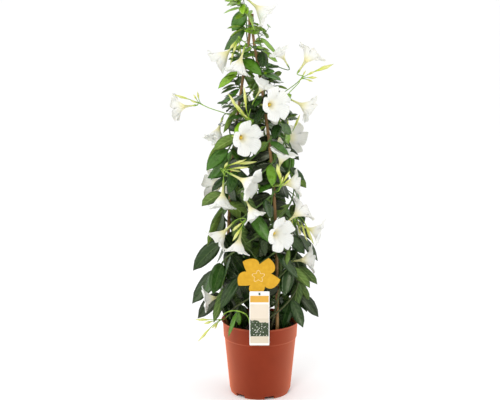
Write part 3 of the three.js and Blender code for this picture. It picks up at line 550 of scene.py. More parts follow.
def bamboo():
    # Dried Tonkin bamboo: hard satin rind with long fibres, brown scars and pale bloom at each joint
    look, tree, shader = material("dried_bamboo", IOR=1.5)
    place = add(tree, "ShaderNodeTexCoord").outputs["Object"]
    long = add(tree, "ShaderNodeMapping", {"Vector": place, "Scale": (1, 1, 0.04)})
    fibre = add(tree, "ShaderNodeTexNoise",
                {"Vector": long.outputs[0], "Scale": 1 / (0.9 * MM), "Detail": 4})
    tint = add(tree, "ShaderNodeValToRGB", {"Fac": fibre.outputs["Fac"]})
    tint.color_ramp.elements[0].position = 0.32
    tint.color_ramp.elements[0].color = linear("#664624")
    tint.color_ramp.elements[1].position = 0.7
    tint.color_ramp.elements[1].color = linear("#9C7843")
    scar = add(tree, "ShaderNodeAttribute", attribute_name="joint")
    scarred = add(tree, "ShaderNodeMix", {"Factor": scar.outputs["Fac"], "A": tint.outputs[0],
                                          "B": linear("#5E3A1C")}, data_type="RGBA")
    tree.links.new(scarred.outputs["Result"], shader["Base Color"])
    shine = add(tree, "ShaderNodeMapRange",
                {"Value": fibre.outputs["Fac"], "To Min": 0.35, "To Max": 0.6})
    tree.links.new(shine.outputs[0], shader["Roughness"])
    bump = add(tree, "ShaderNodeBump",
               {"Height": fibre.outputs["Fac"], "Strength": 0.35, "Distance": 0.2 * MM})
    tree.links.new(bump.outputs[0], shader["Normal"])
    return look


def tie_wire():
    # Garden wire in green PVC: smooth, soft shine, dusty in places
    look, tree, shader = material("pvc_coated_wire", Roughness=0.42, IOR=1.53)
    place = add(tree, "ShaderNodeTexCoord").outputs["Object"]
    dust = add(tree, "ShaderNodeTexNoise", {"Vector": place, "Scale": 1 / (3 * MM), "Detail": 4})
    tint = add(tree, "ShaderNodeMix", {"Factor": dust.outputs["Fac"], "A": linear("#2C5A2A"),
                                       "B": linear("#5C8A50")}, data_type="RGBA")
    tree.links.new(tint.outputs["Result"], shader["Base Color"])
    return look


def peg_plastic():
    # Peg in moulded polypropylene, dark green and slightly glossy, finely orange-peeled
    look, tree, shader = material("green_moulded_peg", Roughness=0.4, IOR=1.49)
    shader["Base Color"].default_value = linear("#20482B")
    place = add(tree, "ShaderNodeTexCoord").outputs["Object"]
    peel = add(tree, "ShaderNodeTexNoise", {"Vector": place, "Scale": 1 / (0.6 * MM)})
    bump = add(tree, "ShaderNodeBump",
               {"Height": peel.outputs["Fac"], "Strength": 0.2, "Distance": 0.1 * MM})
    tree.links.new(bump.outputs[0], shader["Normal"])
    return look


def leaf_veins(tree, rib_edges, vein_share):
    """Places across and along a leaf, and where its midrib and nine side veins a half run."""
    spot = add(tree, "ShaderNodeUVMap", uv_map="leaf")
    axes = add(tree, "ShaderNodeSeparateXYZ", {0: spot.outputs[0]})
    centred = add(tree, "ShaderNodeMath", {0: axes.outputs[0], 1: 0.5}, operation="SUBTRACT")
    away = add(tree, "ShaderNodeMath", {0: centred.outputs[0]}, operation="ABSOLUTE")
    slanted = add(tree, "ShaderNodeMath", {0: away.outputs[0], 1: -0.34, 2: axes.outputs[1]},
                  operation="MULTIPLY_ADD")
    line = add(tree, "ShaderNodeCombineXYZ", {1: slanted.outputs[0]})
    bands = add(tree, "ShaderNodeTexWave", {"Vector": line.outputs[0], "Scale": 9 * WAVE},
                bands_direction="Y")
    veins = add(tree, "ShaderNodeMapRange",
                {"Value": bands.outputs["Fac"], "From Min": 0.86, "From Max": 1},
                interpolation_type="SMOOTHSTEP")
    rib = add(tree, "ShaderNodeMapRange", {"Value": away.outputs[0], "From Min": rib_edges[0],
                                           "From Max": rib_edges[1]},
              interpolation_type="SMOOTHSTEP")
    pale = add(tree, "ShaderNodeMath", {0: veins.outputs[0], 1: vein_share, 2: rib.outputs[0]},
               operation="MULTIPLY_ADD", use_clamp=True)
    return axes, pale


def blotched(tree, tint, grain, detail, shades):
    """A colour in darker and lighter blotches of this size in millimetres, and the blotches."""
    place = add(tree, "ShaderNodeTexCoord").outputs["Object"]
    blotch = add(tree, "ShaderNodeTexNoise",
                 {"Vector": place, "Scale": 1 / (grain * MM), "Detail": detail})
    shade = add(tree, "ShaderNodeMapRange",
                {"Value": blotch.outputs["Fac"], "From Min": 0.3, "From Max": 0.7,
                 "To Min": shades[0], "To Max": shades[1]})
    body = add(tree, "ShaderNodeMix", {"Factor": 1.0, "A": tint.outputs[0],
                                       "B": shade.outputs[0]}, data_type="RGBA",
               blend_type="MULTIPLY")
    return body, blotch


def leaf_top():
    # Upper face of a mandevilla leaf: thick waxy skin, dark with age, with a pale sunken midrib and
    # side veins that rise towards the tip
    look, tree, shader = material("waxy_leaf_skin", IOR=1.5, Specular_Tint=linear("#DAE4B4"),
                                  Coat_Weight=0.25, Coat_Roughness=0.25)
    axes, pale = leaf_veins(tree, (0.035, 0.008), 0.4)
    tone = add(tree, "ShaderNodeAttribute", attribute_name="look")
    parts = add(tree, "ShaderNodeSeparateColor", {0: tone.outputs["Color"]})
    ageing = add(tree, "ShaderNodeValToRGB", {"Fac": parts.outputs[0]})
    ageing.color_ramp.elements[0].color = linear("#0C190B")
    ageing.color_ramp.elements[1].color = linear("#8FBC28")
    ageing.color_ramp.elements.new(0.3).color = linear("#1E3E17")
    ageing.color_ramp.elements.new(0.62).color = linear("#4C8420")
    body, blotch = blotched(tree, ageing, 14, 4, (0.78, 1.2))
    # Painted shade: darker towards the stalk, and on leaves deep inside the plant, where shade falls
    # among the foliage
    depth = add(tree, "ShaderNodeMapRange", {"Value": axes.outputs[1], "From Max": 0.55,
                                             "To Min": 0.5})
    dark = add(tree, "ShaderNodeMath", {0: depth.outputs[0], 1: parts.outputs[1]},
               operation="MULTIPLY")
    body = add(tree, "ShaderNodeMix", {"Factor": 1.0, "A": body.outputs["Result"],
                                       "B": dark.outputs[0]}, data_type="RGBA",
               blend_type="MULTIPLY")
    share = add(tree, "ShaderNodeMath", {0: pale.outputs[0], 1: 0.15}, operation="MULTIPLY")
    ribbed = add(tree, "ShaderNodeMix", {"Factor": share.outputs[0], "A": body.outputs["Result"],
                                         "B": linear("#7FA350")}, data_type="RGBA")
    tree.links.new(ribbed.outputs["Result"], shader["Base Color"])
    wax = add(tree, "ShaderNodeMapRange",
              {"Value": blotch.outputs["Fac"], "To Min": 0.18, "To Max": 0.4})
    tree.links.new(wax.outputs[0], shader["Roughness"])
    dip = add(tree, "ShaderNodeMath", {0: pale.outputs[0], 1: -1}, operation="MULTIPLY")
    bump = add(tree, "ShaderNodeBump",
               {"Height": dip.outputs[0], "Strength": 0.7, "Distance": 0.5 * MM})
    tree.links.new(bump.outputs[0], shader["Normal"])
    return look


def leaf_under():
    # Underside of a leaf: paler and matt, with the midrib and veins standing out
    look, tree, shader = material("leaf_underside", Roughness=0.62, IOR=1.4)
    _, raised = leaf_veins(tree, (0.05, 0.015), 0.55)
    tone = add(tree, "ShaderNodeAttribute", attribute_name="look")
    parts = add(tree, "ShaderNodeSeparateColor", {0: tone.outputs["Color"]})
    ageing = add(tree, "ShaderNodeValToRGB", {"Fac": parts.outputs[0]})
    ageing.color_ramp.elements[0].color = linear("#3F5A2A")
    ageing.color_ramp.elements[1].color = linear("#98BA48")
    body, _ = blotched(tree, ageing, 11, 5, (0.74, 1.16))
    share = add(tree, "ShaderNodeMath", {0: raised.outputs[0], 1: 0.6}, operation="MULTIPLY")
    ribbed = add(tree, "ShaderNodeMix", {"Factor": share.outputs[0], "A": body.outputs["Result"],
                                         "B": linear("#9FB866")}, data_type="RGBA")
    tree.links.new(ribbed.outputs["Result"], shader["Base Color"])
    bump = add(tree, "ShaderNodeBump",
               {"Height": raised.outputs[0], "Strength": 0.7, "Distance": 0.6 * MM})
    tree.links.new(bump.outputs[0], shader["Normal"])
    return look


def stem_bark():
    # Twining stem: brown cork low down where it is woody, green and smooth higher up
    look, tree, shader = material("twining_stem_bark", Roughness=0.68, IOR=1.45)
    place = add(tree, "ShaderNodeTexCoord").outputs["Object"]
    axes = add(tree, "ShaderNodeSeparateXYZ", {0: place})
    rise = add(tree, "ShaderNodeMapRange", {"Value": axes.outputs[2], "From Min": 200 * MM,
                                            "From Max": 900 * MM})
    speck = add(tree, "ShaderNodeTexNoise", {"Vector": place, "Scale": 1 / (3 * MM), "Detail": 5})
    age = add(tree, "ShaderNodeMath", {0: rise.outputs[0], 1: speck.outputs["Fac"]},
              operation="ADD")
    tint = add(tree, "ShaderNodeValToRGB", {"Fac": age.outputs[0]})
    tint.color_ramp.elements[0].position = 0.45
    tint.color_ramp.elements[0].color = linear("#3A2E1C")
    tint.color_ramp.elements[1].position = 1
    tint.color_ramp.elements[1].color = linear("#557433")
    tree.links.new(tint.outputs[0], shader["Base Color"])
    bump = add(tree, "ShaderNodeBump",
               {"Height": speck.outputs["Fac"], "Strength": 0.5, "Distance": 0.4 * MM})
    tree.links.new(bump.outputs[0], shader["Normal"])
    return look


def stalk_skin():
    # Flower stalks and sepals: fresh soft green with a slight shine, lighter and darker in places
    look, tree, shader = material("flower_stalk_skin", Roughness=0.5, IOR=1.4)
    place = add(tree, "ShaderNodeTexCoord").outputs["Object"]
    speck = add(tree, "ShaderNodeTexNoise", {"Vector": place, "Scale": 1 / (8 * MM), "Detail": 3})
    tint = add(tree, "ShaderNodeValToRGB", {"Fac": speck.outputs["Fac"]})
    tint.color_ramp.elements[0].position = 0.35
    tint.color_ramp.elements[0].color = linear("#6E9A2E")
    tint.color_ramp.elements[1].position = 0.7
    tint.color_ramp.elements[1].color = linear("#A3C44C")
    tree.links.new(tint.outputs[0], shader["Base Color"])
    return look


def bud_skin():
    # Furled bud: lime at its foot, cream at its tip, darker in the furrow of each fold
    look, tree, shader = material("furled_bud_skin", Roughness=0.5, IOR=1.4,
                                  Subsurface_Weight=0.15, Subsurface_Radius=(1, 0.9, 0.6),
                                  Subsurface_Scale=2 * MM)
    spot = add(tree, "ShaderNodeUVMap", uv_map="leaf")
    axes = add(tree, "ShaderNodeSeparateXYZ", {0: spot.outputs[0]})
    tint = add(tree, "ShaderNodeValToRGB", {"Fac": axes.outputs[1]})
    tint.color_ramp.elements[0].color = linear("#A8C52E")
    tint.color_ramp.elements[1].color = linear("#D8E07A")
    tint.color_ramp.elements.new(0.35).color = linear("#E0E46E")
    tint.color_ramp.elements.new(0.72).color = linear("#F3EFA8")
    # Five folds that wind half a turn round the bud
    wound = add(tree, "ShaderNodeMath", {0: axes.outputs[1], 1: 0.5, 2: axes.outputs[0]},
                operation="MULTIPLY_ADD")
    line = add(tree, "ShaderNodeCombineXYZ", {1: wound.outputs[0]})
    folds = add(tree, "ShaderNodeTexWave", {"Vector": line.outputs[0], "Scale": 5 * WAVE},
                bands_direction="Y", wave_profile="SAW")
    furrow = add(tree, "ShaderNodeMapRange",
                 {"Value": folds.outputs["Fac"], "From Min": 0.25, "To Min": 0.4, "To Max": 0})
    lined = add(tree, "ShaderNodeMix", {"Factor": furrow.outputs[0], "A": tint.outputs[0],
                                        "B": linear("#A8BC4A")}, data_type="RGBA")
    tree.links.new(lined.outputs["Result"], shader["Base Color"])
    bump = add(tree, "ShaderNodeBump",
               {"Height": folds.outputs["Fac"], "Strength": 0.6, "Distance": 0.5 * MM})
    tree.links.new(bump.outputs[0], shader["Normal"])
    return look


def petal(name, marks):
    # White corolla: thin, soft and a little see-through, with faint veins that fan out of the tube
    look, tree, shader = material(name, Roughness=0.58, IOR=1.4, Subsurface_Weight=0.45,
                                  Subsurface_Radius=(1, 0.9, 0.8), Subsurface_Scale=3 * MM)
    spot = add(tree, "ShaderNodeUVMap", uv_map="leaf")
    axes = add(tree, "ShaderNodeSeparateXYZ", {0: spot.outputs[0]})
    tint = add(tree, "ShaderNodeValToRGB", {"Fac": axes.outputs[1]})
    ramp = tint.color_ramp.elements
    ramp[0].color = linear(marks[0][1])
    ramp[1].color = linear("#EFEFE9")
    for at, code in marks[1:]:
        ramp.new(at).color = linear(code)
    fan = add(tree, "ShaderNodeCombineXYZ", {1: axes.outputs[0]})
    # Eleven veins across each lobe
    veins = add(tree, "ShaderNodeTexWave", {"Vector": fan.outputs[0], "Scale": 11 * WAVE,
                                            "Distortion": 0.6}, bands_direction="Y")
    faint = add(tree, "ShaderNodeMapRange",
                {"Value": veins.outputs["Fac"], "From Min": 0.6, "To Max": 0.3})
    veined = add(tree, "ShaderNodeMix", {"Factor": faint.outputs[0], "A": tint.outputs[0],
                                         "B": linear("#D5D2C0")}, data_type="RGBA")
    tree.links.new(veined.outputs["Result"], shader["Base Color"])
    place = add(tree, "ShaderNodeTexCoord").outputs["Object"]
    crepe = add(tree, "ShaderNodeTexNoise", {"Vector": place, "Scale": 1 / (6 * MM), "Detail": 3})
    relief = add(tree, "ShaderNodeMath", {0: crepe.outputs["Fac"], 1: veins.outputs["Fac"]},
                 operation="ADD")
    bump = add(tree, "ShaderNodeBump",
               {"Height": relief.outputs[0], "Strength": 0.35, "Distance": 0.4 * MM})
    tree.links.new(bump.outputs[0], shader["Normal"])
    return look


def printed_card():
    # Golden card, litho printed and varnished: mottled ink, with a paler five-petal line drawing
    look, tree, shader = material("varnished_gold_card", Roughness=0.5, IOR=1.5,
                                  Specular_IOR_Level=0.3)
    place = add(tree, "ShaderNodeTexCoord").outputs["Object"]
    centred = add(tree, "ShaderNodeMapping", {"Vector": place, "Location": (
        -CARD_CENTRE[0] * MM, 0, -CARD_CENTRE[1] * MM)})
    axes = add(tree, "ShaderNodeSeparateXYZ", {0: centred.outputs[0]})
    flat = add(tree, "ShaderNodeCombineXYZ", {0: axes.outputs[0], 1: axes.outputs[2]})
    radius = add(tree, "ShaderNodeVectorMath", {0: flat.outputs[0]}, operation="LENGTH")
    angle = add(tree, "ShaderNodeMath", {0: axes.outputs[0], 1: axes.outputs[2]},
                operation="ARCTAN2")
    petals = add(tree, "ShaderNodeMath", {0: angle.outputs[0], 1: CARD_PETALS},
                 operation="MULTIPLY")
    lobes = add(tree, "ShaderNodeMath", {0: petals.outputs[0]}, operation="COSINE")
    # A flower outline of 13 mm radius that swings 3.5 mm in and out
    edge = add(tree, "ShaderNodeMath", {0: lobes.outputs[0], 1: 3.5 * MM, 2: 13 * MM},
               operation="MULTIPLY_ADD")
    off = add(tree, "ShaderNodeMath", {0: radius.outputs["Value"], 1: edge.outputs[0]},
              operation="SUBTRACT")
    line = add(tree, "ShaderNodeMath", {0: off.outputs[0], 1: 0, 2: 0.7 * MM}, operation="COMPARE")
    ink = add(tree, "ShaderNodeTexNoise", {"Vector": place, "Scale": 1 / (9 * MM), "Detail": 6})
    tint = add(tree, "ShaderNodeValToRGB", {"Fac": ink.outputs["Fac"]})
    tint.color_ramp.elements[0].position = 0.3
    tint.color_ramp.elements[0].color = linear("#D29D16")
    tint.color_ramp.elements[1].position = 0.7
    tint.color_ramp.elements[1].color = linear("#DDAB26")
    pale = add(tree, "ShaderNodeMath", {0: line.outputs[0], 1: 0.65}, operation="MULTIPLY")
    marked = add(tree, "ShaderNodeMix", {"Factor": pale.outputs[0], "A": tint.outputs[0],
                                         "B": linear("#F8EFC6")}, data_type="RGBA")
    tree.links.new(marked.outputs["Result"], shader["Base Color"])
    fibre = add(tree, "ShaderNodeTexNoise", {"Vector": place, "Scale": 1 / (0.7 * MM)})
    bump = add(tree, "ShaderNodeBump",
               {"Height": fibre.outputs["Fac"], "Strength": 0.15, "Distance": 0.1 * MM})
    tree.links.new(bump.outputs[0], shader["Normal"])
    return look


def label_strip(tree, place, down):
    """The printed strip of dark leaves with white flowers: its colours, and where it is."""
    leaves = add(tree, "ShaderNodeTexVoronoi", {"Vector": place, "Scale": 1 / (PRINT_LEAF * MM)})
    foliage = add(tree, "ShaderNodeValToRGB", {"Fac": leaves.outputs["Color"]})
    foliage.color_ramp.elements[0].color = linear("#0F170F")
    foliage.color_ramp.elements[1].color = linear("#43582E")
    blooms = add(tree, "ShaderNodeTexVoronoi",
                 {"Vector": place, "Scale": 1 / (PRINT_FLOWER * MM)})
    dots = add(tree, "ShaderNodeMapRange",
               {"Value": blooms.outputs["Distance"], "From Min": 0.28, "From Max": 0.2})
    flowered = add(tree, "ShaderNodeMix", {"Factor": dots.outputs[0], "A": foliage.outputs[0],
                                           "B": linear("#F2F0E6")}, data_type="RGBA")
    hills = add(tree, "ShaderNodeTexNoise", {"Vector": place, "Scale": 1 / (PRINT_HILL * MM)})
    edge = add(tree, "ShaderNodeMath", {0: hills.outputs["Fac"], 1: 0.22, 2: down},
               operation="MULTIPLY_ADD")
    above = add(tree, "ShaderNodeMath", {0: edge.outputs[0], 1: 0.66}, operation="GREATER_THAN")
    below = add(tree, "ShaderNodeMath", {0: down, 1: 0.83}, operation="LESS_THAN")
    strip = add(tree, "ShaderNodeMath", {0: above.outputs[0], 1: below.outputs[0]},
                operation="MULTIPLY")
    return flowered.outputs["Result"], strip.outputs[0]


def printed_label():
    # White plastic label, offset printed: a gold band, a warm plain field and a strip of dark
    # leaves with small white flowers
    look, tree, shader = material("printed_plastic_label", Roughness=0.34, IOR=1.5)
    place = add(tree, "ShaderNodeTexCoord").outputs["Object"]
    axes = add(tree, "ShaderNodeSeparateXYZ", {0: place})
    down = add(tree, "ShaderNodeMapRange", {"Value": axes.outputs[2], "From Min": LABEL_TOP * MM,
                                            "From Max": (LABEL_TOP - LABEL_SIZE[1]) * MM})
    fields = add(tree, "ShaderNodeValToRGB", {"Fac": down.outputs[0]})
    fields.color_ramp.interpolation = "CONSTANT"
    stops = fields.color_ramp.elements
    stops[0].color = linear("#F4F3EE")
    stops[1].position = 0.955
    stops[1].color = linear("#F4F3EE")
    for at, code in ((0.08, "#E0A93A"), (0.2, "#F4F3EE"), (0.235, "#E9DCC8"), (0.5, "#DDD0BA")):
        stops.new(at).color = linear(code)
    flowered, strip = label_strip(tree, place, down.outputs[0])
    whole = add(tree, "ShaderNodeMix", {"Factor": strip, "A": fields.outputs[0], "B": flowered},
                data_type="RGBA")
    side = add(tree, "ShaderNodeMath", {0: axes.outputs[0], 1: LABEL_PLACE[0] * MM},
               operation="SUBTRACT")
    away = add(tree, "ShaderNodeMath", {0: side.outputs[0]}, operation="ABSOLUTE")
    margin = add(tree, "ShaderNodeMath", {0: away.outputs[0], 1: LABEL_FIELD / 2 * MM},
                 operation="GREATER_THAN")
    framed = add(tree, "ShaderNodeMix", {"Factor": margin.outputs[0],
                                         "A": whole.outputs["Result"],
                                         "B": linear("#F4F3EE")}, data_type="RGBA")
    tree.links.new(framed.outputs["Result"], shader["Base Color"])
    return look


# Pot and soil

def pot_wall():
    """The pot spun from its profile, with rounded edges, notches in the foot and drain holes."""
    bpy.ops.object.add(type="MESH")
    piece = named("moulded_pot")
    points = [(radius * MM, 0, z * MM) for radius, z in POT_PROFILE]
    piece.data.from_pydata(points, [(i, i + 1) for i in range(len(points) - 1)], [])
    active(piece)
    bpy.ops.object.mode_set(mode="EDIT")
    bpy.ops.mesh.select_all(action="SELECT")
    bpy.ops.mesh.spin(steps=POT_STEPS, angle=2 * math.pi, center=(0, 0, 0), axis=(0, 0, 1))
    bpy.ops.object.mode_set(mode="OBJECT")
    outward(piece)
    apply(piece, "BEVEL", width=POT_EDGE * MM, segments=2, limit_method="ANGLE",
          angle_limit=math.radians(20))
    cutters = []
    for i in range(POT_REPEATS):
        turn = 360 / POT_REPEATS * i
        spot = ring_point(DRAIN_CIRCLE, turn + DRAIN_TURN, DRAIN_MIDDLE) * MM
        bpy.ops.mesh.primitive_cylinder_add(vertices=20, radius=DRAIN_RADIUS * MM,
                                            depth=DRAIN_DEPTH * MM, location=spot)
        cutters.append(bpy.context.object)
        spot = ring_point(NOTCH_CIRCLE, turn + NOTCH_TURN, 0) * MM
        bpy.ops.mesh.primitive_cube_add(size=MM, location=spot,
                                        rotation=(0, 0, math.radians(turn + NOTCH_TURN)),
                                        scale=NOTCH_SIZE)
        cutters.append(bpy.context.object)
    cutter = join(cutters, "pot_cutter")
    settle(cutter)
    apply(piece, "BOOLEAN", object=cutter, operation="DIFFERENCE", solver="EXACT")
    bpy.data.objects.remove(cutter)
    smooth(piece, 30)
    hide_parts("pot")
    return dress(piece, "terracotta_plastic", looks["pot"])


def peat_crust(draw):
    """The rough top of the soil: a crumbly skin with loose crumbs pressed into it."""
    bpy.ops.mesh.primitive_circle_add(vertices=64, radius=CRUST_RADIUS * MM, fill_type="TRIFAN",
                                      location=(0, 0, CRUST_HIGH * MM))
    piece = named("peat_crust")
    settle(piece)
    active(piece)
    bpy.ops.object.mode_set(mode="EDIT")
    bpy.ops.mesh.select_all(action="SELECT")
    bpy.ops.mesh.subdivide(number_cuts=15)
    bpy.ops.object.mode_set(mode="OBJECT")
    grain = bpy.data.textures.new("peat_grain", "CLOUDS")
    grain.noise_scale = CRUST_GRAIN * MM
    grain.noise_depth = 4
    apply(piece, "DISPLACE", texture=grain, strength=CRUST_RELIEF * MM, mid_level=0.5,
          direction="Z", texture_coords="LOCAL")
    bpy.ops.object.mode_set(mode="EDIT")
    pick(piece, lambda vert: vert.is_boundary)
    bpy.ops.mesh.extrude_region_move()
    bpy.ops.transform.resize(value=(1, 1, 0), center_override=(0, 0, CRUST_LOW * MM))
    bpy.ops.mesh.edge_face_add()
    bpy.ops.object.mode_set(mode="OBJECT")
    outward(piece)
    bpy.ops.mesh.primitive_ico_sphere_add(subdivisions=1, radius=MM)
    crumb = bpy.context.object
    points = mesh_points(crumb) / MM
    placed = []
    for _ in range(CRUMBS):
        size = draw.uniform(*CRUMB_SIZES)
        spread = CRUST_RADIUS - CRUMB_MARGIN
        where = ring_point(spread * math.sqrt(draw.random()), draw.uniform(0, 360),
                           CRUST_HIGH + draw.uniform(-0.5, 1))
        turn = np.array(Matrix.Rotation(draw.uniform(0, 6), 3, Vector((1, draw.random(), 1))))
        stretch = vec(draw.uniform(0.7, 1.8), 1, draw.uniform(0.5, 0.9))
        placed.append(((points * size * stretch) @ turn.T + where, (0, 0, 0)))
    crumbs = copies("crumbs", crumb, placed)
    bpy.data.objects.remove(crumb)
    piece = join([piece, crumbs], "peat_crust")
    return dress(piece, "peat", looks["peat"])


# Meshes from curves and from patterns

def mesh_points(piece):
    points = np.empty(3 * len(piece.data.vertices))
    piece.data.vertices.foreach_get("co", points)
    return points.reshape(-1, 3)


def rods(name, lines, sides=8):
    """Round rods along lines of points in millimetres, each with its radii, as one closed mesh."""
    curve = bpy.data.curves.new(name, "CURVE")
    curve.dimensions = "3D"
    curve.bevel_depth = MM
    curve.bevel_resolution = (sides - 4) // 2
    curve.use_fill_caps = True
    for points, radii in lines:
        spline = curve.splines.new("POLY")
        spline.points.add(len(points) - 1)
        for knot, point, radius in zip(spline.points, points, radii):
            knot.co = (*(np.array(point) * MM), 1)
            knot.radius = radius
    piece = bpy.data.objects.new(name, curve)
    bpy.context.scene.collection.objects.link(piece)
    active(piece)
    bpy.ops.object.convert(target="MESH")
    piece = named(name)
    smooth(piece, 50)
    return piece


def copies(name, pattern, placed):
    """One mesh of many copies of a pattern, each with its own points and its own look values."""
    shape = pattern.data
    count = len(shape.vertices)
    faces = [tuple(face.vertices) for face in shape.polygons]
    mesh = bpy.data.meshes.new(name)
    points = np.concatenate([where for where, _ in placed]) * MM
    mesh.from_pydata(points.tolist(), [], [
        tuple(i + count * copy for i in face) for copy in range(len(placed)) for face in faces])
    kinds = np.tile([face.material_index for face in shape.polygons], len(placed))
    mesh.polygons.foreach_set("material_index", kinds)
    if shape.uv_layers:
        spots = np.empty(2 * len(shape.loops))
        shape.uv_layers[0].data.foreach_get("uv", spots)
        mesh.uv_layers.new(name="leaf").data.foreach_set("uv", np.tile(spots, len(placed)))
    colours = mesh.color_attributes.new("look", "FLOAT_COLOR", "CORNER")
    values = [[*look, 1] for _, look in placed]
    colours.data.foreach_set("color", np.repeat(values, len(shape.loops), axis=0).ravel())
    piece = bpy.data.objects.new(name, mesh)
    bpy.context.scene.collection.objects.link(piece)
    smooth(piece)
    return piece


# Canes and tie

def cane_spread(z):
    """How far the canes stand apart at a height, from 1 at the soil to 0 where they are tied."""
    rise = min(max((z - SOIL_TOP) / (TIE_Z - SOIL_TOP), 0), 1)
    return (1 - rise ** CANE_BOW) ** CANE_CLOSE


def frame_centre(z):
    return vec(APEX_X * (1 - cane_spread(z)), 0, z)


def cane_point(index, z):
    sunk = max(SOIL_TOP - z, 0)
    radius = math.hypot(CANE_CIRCLE * cane_spread(z), BUNDLE_CIRCLE) - CANE_SLANT * sunk
    return ring_point(radius, 180 + 360 / CANE_COUNT * index, 0) + frame_centre(z)


def cane(index):
    """A bamboo cane with a swollen ridge at each joint."""
    joints = np.array(CANE_JOINTS[index])
    heights = sorted(set(np.arange(CANE_FOOT, CANE_TOP, CANE_STEP)) | {CANE_TOP}
                     | {joint + part * JOINT_LENGTH for joint in joints for part in (-1, 0, 1)})
    points = [cane_point(index, z) for z in heights]
    radii = []
    for z in heights:
        plain = mix(*CANE_RADII, (z - CANE_FOOT) / (CANE_TOP - CANE_FOOT))
        near = min(abs(joints - z)) / JOINT_LENGTH
        radii.append(plain + JOINT_SWELL * math.exp(-near * near))
    piece = rods(f"bamboo_{index + 1}", [(points, radii)], 12)
    scars = piece.data.attributes.new("joint", "FLOAT", "POINT")
    height = mesh_points(piece)[:, 2:] / MM
    away = np.abs(height - joints).min(axis=1)
    scars.data.foreach_set("value", np.clip(1.2 - away / SCAR_LENGTH, 0, 1))
    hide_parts(f"cane_{index + 1}")
    return dress(piece, "bamboo", looks["bamboo"])


def wire_tie():
    """Wire wound twice round the canes, with its two ends twisted together."""
    middle = frame_centre(TIE_Z)
    steps = 24 * TIE_TURNS
    coil = [ring_point(TIE_CIRCLE, 360 * TIE_TURNS * i / steps - 90, 0) + middle
            + vec(0, 0, TIE_RISE * (i / steps - 0.5)) for i in range(steps + 1)]
    lines = [(coil, [TIE_WIRE] * len(coil))]
    for side in (0, 180):
        tail = []
        for i in range(TAIL_STEPS + 1):
            turn = math.radians(side + TAIL_TWIST * i)
            out = -TIE_CIRCLE - TIE_TAIL * i / TAIL_STEPS
            tail.append(middle + vec(TIE_WIRE * math.cos(turn), out, TIE_WIRE * math.sin(turn)))
        lines.append((tail, [TIE_WIRE * 0.9] * len(tail)))
    piece = rods("wire_tie", lines)
    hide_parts("cane_tie")
    return dress(piece, "green_wire", looks["wire"])


# Card and label

def card_outline():
    """The card's edge as points round its middle: five petals, each with a sharp tip to one side."""
    def spot(radius, angle):
        turn = math.radians(angle)
        return vec(radius * math.sin(turn), radius * math.cos(turn))

    points = []
    sector = 360 / CARD_PETALS
    for i in range(CARD_PETALS):
        start = sector * i + CARD_TURN
        end = spot(CARD_WAIST, start + sector)
        tip = spot(CARD_RADIUS, start + CARD_TIP_AT)
        rise = (spot(CARD_WAIST, start), spot(CARD_PULL, start + 8), tip)
        fall = (tip, spot(CARD_CROWN, start + 36), spot(CARD_RADIUS, start + 66), end)
        points += [curve_at(step / CARD_CURVE, *rise) for step in range(CARD_CURVE)]
        points += [curve_at(step / CARD_CURVE / 2, *fall) for step in range(2 * CARD_CURVE)]
    return points


def plate(name, outline, thick, corner):
    """A flat plate from an outline in the upright plane, with softened edges."""
    bpy.ops.object.add(type="MESH")
    piece = named(name)
    piece.data.from_pydata([(x * MM, 0, z * MM) for x, z in outline], [],
                           [tuple(range(len(outline)))])
    active(piece)
    bpy.ops.object.mode_set(mode="EDIT")
    bpy.ops.mesh.select_all(action="SELECT")
    bpy.ops.mesh.extrude_region_move(TRANSFORM_OT_translate={"value": (0, thick * MM, 0)})
    bpy.ops.mesh.select_all(action="SELECT")
    bpy.ops.transform.translate(value=(0, -thick / 2 * MM, 0))
    bpy.ops.mesh.normals_make_consistent(inside=False)
    bpy.ops.object.mode_set(mode="OBJECT")
    apply(piece, "BEVEL", width=corner * MM, segments=2, limit_method="ANGLE",
          angle_limit=math.radians(60))
    return piece


def yellow_card():
    """The flower-shaped card on its stake, leaning forwards, with the peg that holds the label."""
    rise = (CARD_CENTRE[1] - CARD_FOOT[1]) / math.cos(math.radians(CARD_LEAN))
    petals = plate("card_petals", [(x, z + rise) for x, z in card_outline()], CARD_THICK, 0.25)
    half = STAKE_WIDTH / 2
    stake = plate("card_stake", [(-half, 0), (half, 0), (half, rise), (-half, rise)],
                  CARD_THICK, 0.3)
    apply(petals, "BOOLEAN", object=stake, operation="UNION", solver="EXACT")
    bpy.data.objects.remove(stake)
    petals.rotation_euler = (math.radians(CARD_LEAN), 0, 0)
    petals.location = vec(CARD_CENTRE[0], *CARD_FOOT) * MM
    settle(petals)
    peg_z = LABEL_TOP - LABEL_DROP
    peg_y = CARD_FOOT[0] - (peg_z - CARD_FOOT[1]) * math.tan(math.radians(CARD_LEAN))
    tip = vec(LABEL_PLACE[0], peg_y - PEG_LENGTH + 0.5, peg_z)
    back = tip + vec(0, PEG_LENGTH, 0)
    head = tip + vec(0, 1.2, 0)
    peg = rods("card_peg", [([tip, tip + vec(0, 0.3, 0), head, head, back],
                             [1.9, 2.6, 2.6, PEG_RADIUS, PEG_RADIUS])], 16)
    petals.data.materials.append(looks["card"])
    peg.data.materials.append(looks["peg"])
    piece = join([petals, peg], "yellow_card")
    smooth(piece, 35)
    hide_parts("flower_card")
    return dress(piece, "yellow_card", looks["card"], looks["peg"])


